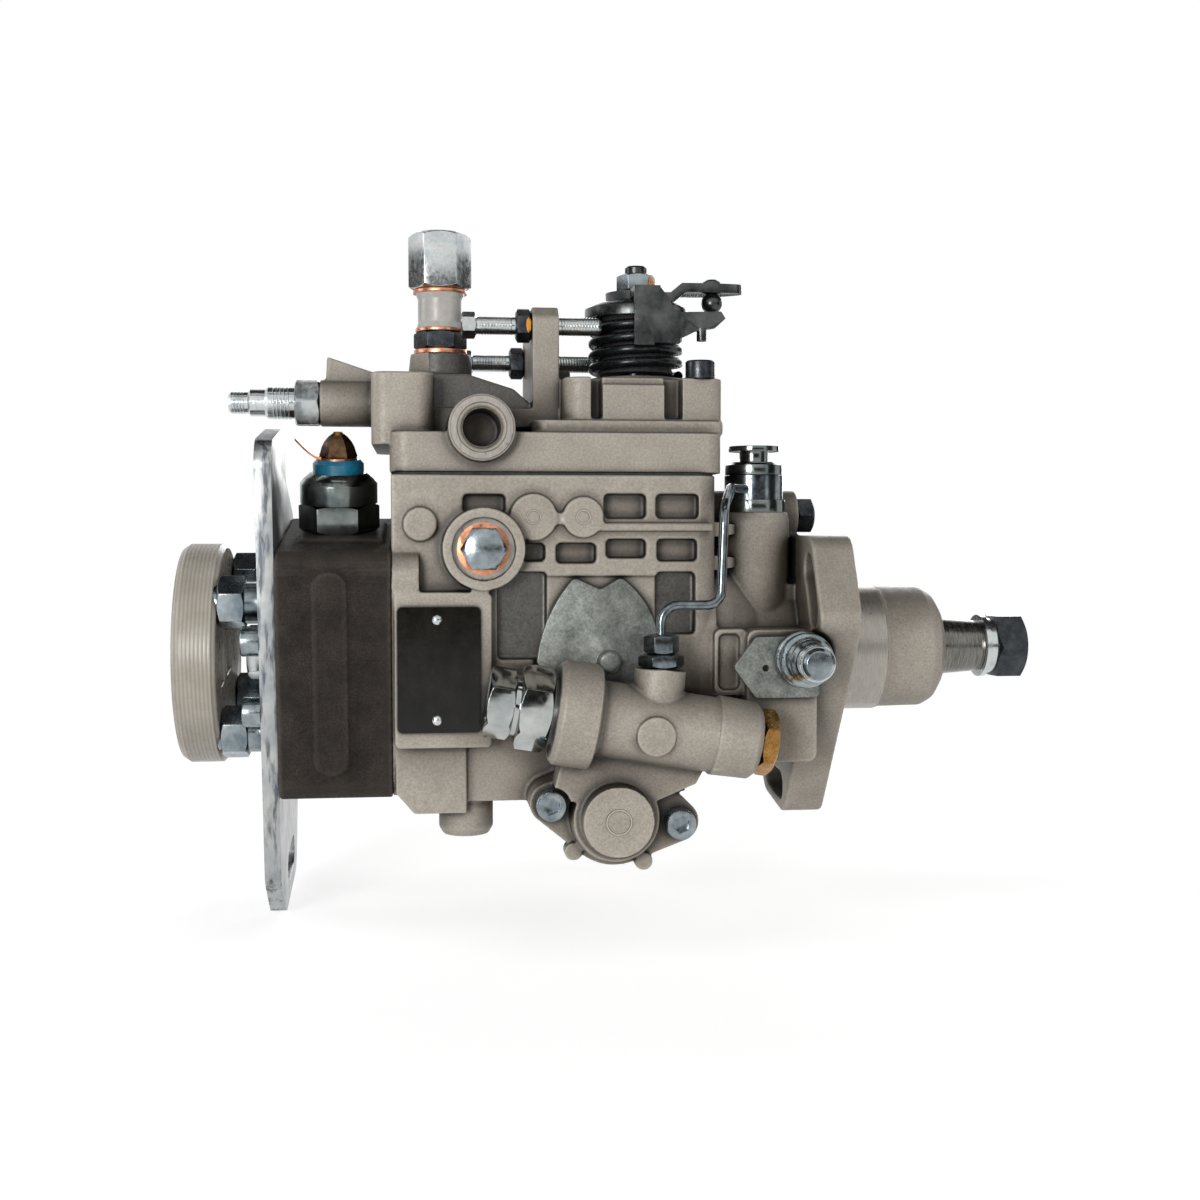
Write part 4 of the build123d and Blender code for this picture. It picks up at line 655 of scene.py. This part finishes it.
def add_thread(mesh_data, origin, direction, crest, depth, pitch, length, segments=40, per_turn=8):
    """Threaded rod: one closed skin whose radius follows a helical ridge and fades at both ends."""
    turn = axis_frame(direction)
    rows = int(round(length / pitch * per_turn))
    run_out = 0.7 * pitch
    rings = []
    for row in range(rows + 1):
        along = length * row / rows
        fade = min(1.0, along / run_out, (length - along) / run_out)
        ring = []
        for step in range(segments):
            phase = (along / pitch - step / segments) % 1.0
            ridge = 1.0 - abs(2.0 * phase - 1.0)
            radius = crest - depth + depth * fade * min(1.0, 1.25 * ridge)
            angle = 2 * math.pi * step / segments
            local = Vector((radius * math.cos(angle), radius * math.sin(angle), along))
            ring.append(mesh_data.verts.new(Vector(origin) + turn @ local))
        rings.append(ring)
    bridge(mesh_data, rings)
    close_ends(mesh_data, rings)


def thread(name, body, slot, *stretches):
    """Piece made of one or more threaded stretches."""
    mesh_data = bmesh.new()
    for stretch in stretches:
        add_thread(mesh_data, *stretch)
    piece_from(name, mesh_data, body, slot, smooth_angle=60)


def welded(node):
    """The node's form with its coincident corners merged."""
    mesh_data = bmesh.new()
    mesh_data.from_mesh(frame["nodes"][node].data)
    bmesh.ops.remove_doubles(mesh_data, verts=mesh_data.verts, dist=WELD_DISTANCE * MM)
    return mesh_data


def casting(node, voxel, keep):
    """Casting with every edge and inside corner rounded, as it comes out of the die."""
    mesh_data = welded(node)
    mesh = bpy.data.meshes.new(node + "_casting")
    mesh_data.to_mesh(mesh)
    mesh_data.free()
    piece = placed(node + "_casting", mesh)
    remesh = piece.modifiers.new("grid", "REMESH")
    remesh.mode = "VOXEL"
    remesh.voxel_size = voxel * MM * 1.0
    rounding = piece.modifiers.new("rounding", "SMOOTH")
    rounding.factor = 0.5
    rounding.iterations = ROUNDING_PASSES
    thinning = piece.modifiers.new("thinning", "DECIMATE")
    thinning.ratio = keep
    baked = applied(piece)
    piece.modifiers.clear()
    piece.data = baked
    baked.shade_smooth()
    finish_piece(piece, NODE_BODY[node], NODE_SLOT[node])
    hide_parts(node)
    return piece


def softened(node, width, material=None):
    """Machined piece with its edges broken by a narrow bevel."""
    mesh_data = welded(node)
    bmesh.ops.dissolve_limit(
        mesh_data, angle_limit=math.radians(FLAT_ANGLE), verts=mesh_data.verts, edges=mesh_data.edges,
    )
    limit = math.radians(BEVEL_ANGLE)
    edges = [e for e in mesh_data.edges if len(e.link_faces) == 2 and e.calc_face_angle(0.0) > limit]
    bmesh.ops.bevel(
        mesh_data, geom=edges, offset=width * MM, segments=2, profile=0.6, affect="EDGES", clamp_overlap=True,
    )
    mesh = bpy.data.meshes.new(node + "_finished")
    mesh_data.to_mesh(mesh)
    mesh_data.free()
    mesh.shade_smooth()
    mesh.set_sharp_from_angle(angle=math.radians(SHARP_ANGLE))
    piece = placed(node + "_finished", mesh)
    finish_piece(piece, NODE_BODY[node], NODE_SLOT[node], material)
    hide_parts(node)
    return piece


def repaint(piece, material, inside):
    """Gives the faces whose middle lies inside the region, in millimetres, another material."""
    piece.data.materials.append(material)
    for face in piece.data.polygons:
        if inside(face.center / MM):
            face.material_index = len(piece.data.materials) - 1


# ---------------------------------------------------------------- finishes of the pieces
for node_name, node_object in frame["nodes"].items():
    node_object.data.materials.clear()
    node_object.data.materials.append(FINISHES[NODE_SLOT[node_name]])

EDGE_BREAK = 0.22
SCREW_EDGE_BREAK = 0.2
PLATE_EDGE_BREAK = 0.3
COVER_SCREWS_ABOVE = 72.0            # the dark screws sit higher than this, the blued ones lower
FULL_LOAD_NUT_BEFORE = -150.0        # the bright lock nut lies at a smaller X than this
DEEP_POCKETS = ((-118.6, -103.0, 0.4, 28.6), (-65.7, -53.2, 8.4, 28.4))
POCKET_FLOOR_BAND = 0.7              # how far from the floor a face may lie and still be its own
SADDLE_X = (-140.8, -106.2)
SADDLE_Z = 84.6
SADDLE_HALF_WIDTH = 24.0


def on_pocket_floor(middle):
    """True on the floors of the deep pockets beside the side plate, which take painted shade."""
    inside = any(x0 < middle.x < x1 and z0 < middle.z < z1 for x0, x1, z0, z1 in DEEP_POCKETS)
    return inside and abs(abs(middle.y) - (HOUSING_HALF_WIDTH - POCKET_DEPTH)) < POCKET_FLOOR_BAND


def on_saddle(middle):
    """True on the governor cover's saddle between its two storeys, which takes painted shade."""
    inside = SADDLE_X[0] < middle.x < SADDLE_X[1] and abs(middle.y) < SADDLE_HALF_WIDTH
    return inside and middle.z > SADDLE_Z


# painted shade: the deep pocket floors and the cover's saddle take a darker copy of the casting
repaint(casting("pump_housing", 0.52, 0.2), PAINTED_SHADE, on_pocket_floor)
repaint(casting("governor_cover", 0.48, 0.22), PAINTED_SHADE, on_saddle)
casting("timing_cover", 0.42, 0.3)
casting("spring_side_cover", 0.5, 0.3)
casting("distributor_head", 0.7, 0.2)

for node_name in (
    "rear_bracket", "head_plug", "overflow_bolt", "overflow_fitting",
    "pipe_nut", "cold_start_fitting", "outlet_cap",
    "cold_start_plug", "shaft_nut", "throttle_lever", "copper_washers",
):
    softened(node_name, EDGE_BREAK)
for node_name in ("solenoid_body", "pressure_regulator"):
    softened(node_name, EDGE_BREAK, SMOKED)
for node_name in ("side_plate", "lock_plate"):
    softened(node_name, PLATE_EDGE_BREAK, DULL)
for node_name in ("delivery_valve_holders", "lock_bolt", "side_plug", "throttle_nut"):
    softened(node_name, EDGE_BREAK, BLUED)
repaint(
    softened("socket_screws", SCREW_EDGE_BREAK, BLUED), FINISHES["dark_steel"],
    lambda middle: middle.z > COVER_SCREWS_ABOVE,
)
repaint(
    softened("lock_nuts", EDGE_BREAK), FINISHES["zinc_bolt"],
    lambda middle: middle.x < FULL_LOAD_NUT_BEFORE,
)


# ---------------------------------------------------------------- machined faces of the castings
def machined_faces():
    """Turned spigot, port and boss faces, each a thin ring just proud of the casting."""
    mesh_data = bmesh.new()
    spigot = [(0, 20), (0, 22.72), (19.6, 22.72), (20.6, 21.8), (20.6, 20)]
    return_port = [(-1.5, 6.4), (-2.4, 6.2), (0.1, 8.3), (0.1, 10.2), (-1.5, 10.2)]
    plug_boss = [(-1, 8.7), (0.12, 8.7), (0.12, 10.15), (-1, 10.15)]
    overflow_boss = [(-1, 6.2), (0.14, 6.2), (0.14, 9.9), (-1, 9.9)]
    add_ring(mesh_data, (0.4, 0, 0), TO_DRIVE, spigot)
    add_ring(mesh_data, (-123.9, -45.25, 76.2), NEAR, return_port)
    add_ring(mesh_data, (-123.5, -44.0, 36.6), NEAR, plug_boss)
    add_ring(mesh_data, (-136.7, -5, 103.6), UP, overflow_boss)
    piece_from("machined_faces", mesh_data, "pump_body", "cast_aluminium", MACHINED)


machined_faces()


# ---------------------------------------------------------------- threads
# Each threaded stretch: origin, direction, crest radius, depth, pitch, length.
STOP_SCREWS = ((-17.0, 112.8, -82.4), (20.5, 104.0, -72.0))    # Y, Z, and X of the tip
STOP_LUG_X = (-111.6, -96.5)         # back and front of the lug that holds the two stop screws
STOP_TAIL = 12.6                     # length of the stop screws behind the lug


def stop_screw_stretches():
    """Both stop screws, in front of their lug and behind it."""
    back, front = STOP_LUG_X
    stretches = []
    for y, z, tip in STOP_SCREWS:
        stretches.append(((front, y, z), TO_DRIVE, 3.2, 0.45, 1.0, tip - front))
        stretches.append(((back, y, z), TO_HEAD, 3.2, 0.45, 1.0, STOP_TAIL))
    return stretches


def outlet_stretches():
    """The four outlets round the distributor head."""
    stretches = []
    for quarter in range(4):
        angle = math.radians(45 + 90 * quarter)
        centre = head_point(-202.6, OUTLET_CIRCLE * math.cos(angle), OUTLET_CIRCLE * math.sin(angle))
        stretches.append((centre, TO_HEAD, 6.22, 0.7, 1.5, 18.6))
    return stretches


def threads():
    """Visible threads of screws and studs, laid over their plain cores."""
    thread(
        "full_load_thread", "pump_body", "zinc_bolt",
        ((-187.0, *FULL_LOAD_AXIS), TO_HEAD, 5.62, 0.6, 1.25, 7.6),
        ((-202.6, *FULL_LOAD_AXIS), TO_HEAD, 3.85, 0.5, 1.0, 5.6),
    )
    thread("stop_screw_threads", "pump_body", "zinc_bolt", *stop_screw_stretches())
    thread("outlet_threads", "pump_body", "zinc_bolt", *outlet_stretches())
    stud = head_point(SOLENOID_X, 0, 72.6)
    thread("terminal_thread", "pump_body", "brass", (stud, HEAD_UP, 2.12, 0.3, 0.7, 3.9))
    thread("shaft_thread", "drive_shaft", "shaft_steel", ((61.5, 0, 0), TO_DRIVE, 7.15, 0.8, 1.5, 15.4))
    thread(
        "lock_bolt_thread", "pump_body", "zinc_bolt",
        ((LOCK_BOLT_X, -58.3, 0), NEAR, 7.62, 0.55, 1.25, 5.0),
        ((LOCK_BOLT_X, -65.6, 0), NEAR, 6.1, 0.5, 1.0, 4.6),
    )


threads()


# ---------------------------------------------------------------- small details
def rivets():
    """Two domed rivets that hold the name plate."""
    mesh_data = bmesh.new()
    dome = [(-0.3, 1.75), (0.15, 1.75), (0.55, 1.45), (0.82, 0.9), (0.9, 0.2)]
    for x, z in ((-138.8, 13.6), (-138.9, -19.2)):
        add_lathe(mesh_data, (x, -47.2, z), NEAR, dome, 28)
    piece_from("plate_rivets", mesh_data, "pump_body", "zinc_bolt")


def tower_ribs():
    """Two short cast webs between the housing's end and the regulator's tower."""
    mesh_data = bmesh.new()
    depth = 9.0
    sections = ((-46.5, -34.0, 2.6), (-41.5, -31.5, 2.2), (-36.5, -27.0, 1.6), (-34.0, -23.5, 1.0))
    for height in (31.6, 43.0):
        rings = []
        for x, y, half in sections:
            corners = ((y, -half), (y, half), (y + depth, half), (y + depth, -half))
            rings.append([mesh_data.verts.new((x, across, height + up)) for across, up in corners])
        bridge(mesh_data, rings)
        close_ends(mesh_data, rings)
    piece_from("tower_ribs", mesh_data, "pump_body", "cast_aluminium")


def ejector_marks():
    """Faint raised circles that the die's ejector pins leave on round faces."""
    mesh_data = bmesh.new()
    wide = [(-0.3, 3.7), (0.14, 3.8), (0.14, 4.2), (-0.3, 4.3)]
    narrow = [(-0.3, 2.0), (0.12, 2.1), (0.12, 2.4), (-0.3, 2.5)]
    add_ring(mesh_data, timing_point(0, -63.0, -1), NEAR, wide, 40)
    for x in (-107.1, -90.6):
        add_ring(mesh_data, (x, -44.0, 47.0), NEAR, narrow, 32)
    piece_from("ejector_marks", mesh_data, "pump_body", "cast_aluminium")


def terminal_tab():
    """Copper terminal ring with a bent tongue on the solenoid stud."""
    mesh_data = bmesh.new()
    washer = [(0, 2.05), (0, 6.4), (0.55, 6.4), (0.55, 2.05)]
    add_ring(mesh_data, head_point(SOLENOID_X, 0, 68.02), HEAD_UP, washer, 40)
    thickness = 0.9
    root = 68.05
    sections = (
        (-5.6, 0.0, 2.8), (-7.4, 0.3, 2.8), (-9.4, 1.5, 2.6),
        (-11.6, 3.4, 2.2), (-13.6, 5.4, 1.5), (-14.6, 6.4, 0.9),
    )
    rings = []
    for x, lift, half in sections:
        corners = ((-half, 0.0), (half, 0.0), (half, thickness), (-half, thickness))
        places = [head_point(SOLENOID_X + x, y, root + lift + z) for y, z in corners]
        rings.append([mesh_data.verts.new(place) for place in places])
    bridge(mesh_data, rings)
    close_ends(mesh_data, rings)
    piece_from("terminal_tab", mesh_data, "pump_body", "copper")


def terminal_boot():
    """Dark domed nut over the solenoid's stud, with six soft flats."""
    mesh_data = bmesh.new()
    dome = [(0, 6.3), (0.8, 6.5), (1.8, 6.1), (3.6, 5.6), (5.4, 4.7), (7.2, 3.2), (8.4, 1.6)]
    add_lathe(mesh_data, head_point(SOLENOID_X, 0, 68.6), HEAD_UP, dome, 6)
    piece_from("terminal_boot", mesh_data, "pump_body", "brass", dark_bronze(), 25)


def paint_dab(name, body, slot, centre, normal, across, width, height, seed):
    """Thin patch of paint on a flat: its outline wanders, and each layer repeats it a little smaller."""
    mesh_data = bmesh.new()
    generator = random.Random(seed)
    normal = Vector(normal).normalized()
    side = Vector(across).normalized()
    other = normal.cross(side)
    corners = 26
    rings = []
    for lift, share in ((-0.05, 1.0), (0.10, 0.97), (0.17, 0.8), (0.2, 0.3)):
        generator.seed(seed)
        ring = []
        for step in range(corners):
            angle = 2 * math.pi * step / corners
            wobble = share * generator.uniform(0.84, 1.08)
            sideways = side * (math.cos(angle) * width / 2 * wobble)
            upwards = other * (math.sin(angle) * height / 2 * wobble)
            ring.append(mesh_data.verts.new(Vector(centre) + (sideways + upwards) + normal * lift))
        rings.append(ring)
    bridge(mesh_data, rings)
    close_ends(mesh_data, rings)
    piece_from(name, mesh_data, body, slot, PAINT, 60)


def spring_guide():
    """Black guide sleeve inside the throttle return spring."""
    mesh_data = bmesh.new()
    sleeve = [(0, 6.0), (0, 13.1), (0.6, 13.3), (1.4, 12.9), (20.2, 12.7), (21.2, 12.2), (21.2, 6.0)]
    add_ring(mesh_data, (THROTTLE_X, 0, 98.3), UP, sleeve, 56)
    piece_from("spring_guide", mesh_data, "pump_body", "rubber")


def throttle_return_spring():
    """Return spring of round wire, coiled round its guide sleeve."""
    turns, radius, wire = 4.55, 15.4, 1.75
    bottom, rise = 98.1, 20.4
    per_turn = 40
    curve = bpy.data.curves.new("throttle_return_spring", "CURVE")
    curve.dimensions = "3D"
    curve.bevel_depth = wire * MM
    curve.bevel_resolution = 5
    curve.resolution_u = 2
    spline = curve.splines.new("POLY")
    steps = int(turns * per_turn)
    spline.points.add(steps)
    for step, point in enumerate(spline.points):
        angle = 2 * math.pi * step / per_turn
        height = bottom + rise * step / steps
        place = Vector((THROTTLE_X + radius * math.cos(angle), radius * math.sin(angle), height)) * MM
        point.co = (*place, 1.0)
    coil = placed("throttle_return_spring_curve", curve)
    mesh = applied(coil)
    bpy.data.objects.remove(coil)
    piece = placed("throttle_return_spring", mesh)
    mesh.shade_smooth()
    finish_piece(piece, "pump_body", "dark_steel", FINISHES["spring_steel"])
    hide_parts("throttle_spring")


rivets()
tower_ribs()
ejector_marks()
terminal_tab()
terminal_boot()
spring_guide()
throttle_return_spring()
paint_dab(
    "lock_nut_paint", "pump_body", "dark_steel",
    centre=(-106.9, -22.05, 112.6), normal=NEAR, across=TO_DRIVE, width=1.9, height=5.2, seed=3,
)
paint_dab(
    "throttle_nut_paint", "throttle", "zinc_bolt",
    centre=(-61.75, -3.0, 130.6), normal=(0.866, -0.5, 0), across=UP, width=5, height=5.6, seed=5,
)


# ---------------------------------------------------------------- floor, light and camera
CENTRE = Vector((-0.0735, 0.0, 0.02))    # middle of the part, in metres
FLOOR_HALF = 4.0                     # half the floor's side, in metres
FLOOR_GAP = 0.0005                   # between the part's lowest point and the floor, in metres
FLOOR_LIFT = 0.72                    # glow that brings the lit floor up to white
SHADOW_REACH = (0.25, 0.75)          # metres over which the shadowed floor turns plain white
DIFFUSE_SKY = 0.05                   # strength of the backdrop as a light
CARD_BLACK = (0.012, 0.011, 0.010, 1)


def white_when_seen(tree):
    """1 where the backdrop is seen or mirrored, 0 where it only gives diffuse light."""
    rays = tree.nodes.new("ShaderNodeLightPath")
    total = rays.outputs["Is Camera Ray"]
    for kind in ("Is Glossy Ray", "Is Transmission Ray"):
        either = tree.nodes.new("ShaderNodeMath")
        either.operation = "MAXIMUM"
        tree.links.new(total, either.inputs[0])
        tree.links.new(rays.outputs[kind], either.inputs[1])
        total = either.outputs[0]
    return total


def far_share(made):
    """0 on the floor near the part, rising to 1 further out."""
    length = made.node("ShaderNodeVectorMath", operation="LENGTH")
    made.join(made.coords, length.inputs[0])
    far = made.node("ShaderNodeMapRange", interpolation_type="SMOOTHSTEP")
    far.inputs["From Min"].default_value = SHADOW_REACH[0]
    far.inputs["From Max"].default_value = SHADOW_REACH[1]
    made.join(length.outputs["Value"], far.inputs["Value"])
    return far.outputs["Result"]


def shadowed_floor(made, seen):
    """Matt white that takes the soft shadow, lifted by a faint glow."""
    tone = made.ramp(made.noise(90, 2), (0.3, (0.60, 0.60, 0.60)), (0.7, (0.63, 0.63, 0.63)))
    matt = made.node("ShaderNodeBsdfDiffuse")
    made.join(tone, matt.inputs["Color"])
    strength = made.node("ShaderNodeMath", operation="MULTIPLY")
    strength.inputs[1].default_value = FLOOR_LIFT
    made.join(seen, strength.inputs[0])
    lift = made.node("ShaderNodeEmission")
    made.join(strength.outputs[0], lift.inputs["Strength"])
    near = made.node("ShaderNodeAddShader")
    made.join(matt.outputs[0], near.inputs[0])
    made.join(lift.outputs[0], near.inputs[1])
    return near.outputs[0]


def backdrop_material():
    """White floor: near the part it takes the soft shadow, and further out it is plain white."""
    made = Surface("floor_white")
    tree = made.tree
    tree.nodes.remove(made.shader)
    far = far_share(made)
    seen = white_when_seen(tree)
    near = shadowed_floor(made, seen)
    white = made.node("ShaderNodeEmission")
    made.join(seen, white.inputs["Strength"])
    blend = made.node("ShaderNodeMixShader")
    made.join(far, blend.inputs["Fac"])
    made.join(near, blend.inputs[1])
    made.join(white.outputs[0], blend.inputs[2])
    made.join(blend.outputs[0], tree.nodes["Material Output"].inputs["Surface"])
    return made.material


def rectangle(name, size_x, size_y, level=0.0):
    """Flat four-cornered piece about its own middle."""
    x, y = size_x / 2, size_y / 2
    mesh = bpy.data.meshes.new(name)
    mesh.from_pydata([(-x, -y, level), (x, -y, level), (x, y, level), (-x, y, level)], [], [(0, 1, 2, 3)])
    return placed(name, mesh)


def floor():
    """Pale floor just under the part's lowest point."""
    plane = rectangle("floor", 2 * FLOOR_HALF, 2 * FLOOR_HALF, CAD_BOX[0][2] - FLOOR_GAP)
    plane.data.materials.append(backdrop_material())


def world():
    """White backdrop for what is seen or mirrored, and a gentler grey fill for diffuse light."""
    made = bpy.data.worlds.new("studio")
    bpy.context.scene.world = made
    made.use_nodes = True
    tree = made.node_tree
    shade = tree.nodes["Background"]
    strength = tree.nodes.new("ShaderNodeMapRange")
    strength.inputs["To Min"].default_value = DIFFUSE_SKY
    strength.inputs["To Max"].default_value = 1.0
    tree.links.new(white_when_seen(tree), strength.inputs["Value"])
    tree.links.new(strength.outputs["Result"], shade.inputs["Strength"])
    shade.inputs["Color"].default_value = (1, 1, 1, 1)


def aim(thing, place):
    """Sets a lamp or card at a place measured from the middle of the part, and turns it to face the part."""
    thing.location = CENTRE + Vector(place)
    thing.rotation_euler = (CENTRE - thing.location).to_track_quat("-Z", "Y").to_euler()


def lamp(name, place, size_x, size_y, power, mirrored=True):
    """Soft box aimed at the middle of the part; one that isn't mirrored leaves no glare on bright metal."""
    data = bpy.data.lights.new(name, "AREA")
    data.shape = "RECTANGLE"
    data.size = size_x
    data.size_y = size_y
    data.energy = power
    light = placed(name, data)
    aim(light, place)
    light.visible_glossy = mirrored


def dark_card(name, place, size_x, size_y):
    """Black studio card that only mirrors see, so that bright metal shows dark bands."""
    card = rectangle(name, size_x, size_y)
    aim(card, place)
    made = bpy.data.materials.new(name)
    made.use_nodes = True
    shader = made.node_tree.nodes["Principled BSDF"]
    shader.inputs["Base Color"].default_value = CARD_BLACK
    shader.inputs["Roughness"].default_value = 0.9
    card.data.materials.append(made)
    card.visible_camera = False
    card.visible_diffuse = False
    card.visible_shadow = False
    card.visible_transmission = False


def camera():
    """Nearly level view of the near side from a little left of the middle."""
    turn, dip = math.radians(6.8), math.radians(2.65)
    looking = Vector((math.sin(turn) * math.cos(dip), math.cos(turn) * math.cos(dip), -math.sin(dip)))
    data = bpy.data.cameras.new("camera")
    data.lens = 45.36
    data.sensor_width = 36.0
    view = placed("camera", data)
    view.location = (-0.14428, -0.540, 0.04277)
    view.rotation_euler = looking.to_track_quat("-Z", "Y").to_euler()
    bpy.context.scene.camera = view


floor()
world()
lamp("key_light", (-0.44, -0.82, 0.10), 0.30, 0.30, 5.0)
lamp("front_light", (0.18, -0.98, -0.06), 0.6, 0.1, 2.4, mirrored=False)
lamp("fill_light", (0.88, -0.45, 0.12), 0.4, 0.7, 1.6)
lamp("left_light", (-0.92, 0.10, 0.15), 0.4, 0.5, 1.4)
lamp("back_light", (0.25, 0.85, 0.28), 0.8, 0.5, 4.2)
lamp("top_light", (0.0, -0.10, 0.95), 0.6, 0.4, 1.2)
dark_card("card_front", (-0.05, -1.35, -0.25), 2.2, 0.9)
dark_card("card_left", (-0.85, -0.45, 0.0), 0.7, 0.9)
dark_card("card_right", (0.75, -0.35, 0.0), 0.5, 0.9)
dark_card("card_left_back", (-0.80, 0.38, 0.05), 0.40, 0.5)
dark_card("card_right_back", (0.70, 0.52, 0.05), 0.40, 0.5)
dark_card("card_back", (0.0, 0.85, -0.05), 0.7, 0.3)
dark_card("card_top", (0.0, 0.12, 0.90), 1.6, 1.3)
camera()
bpy.context.scene.view_settings.view_transform = "Standard"
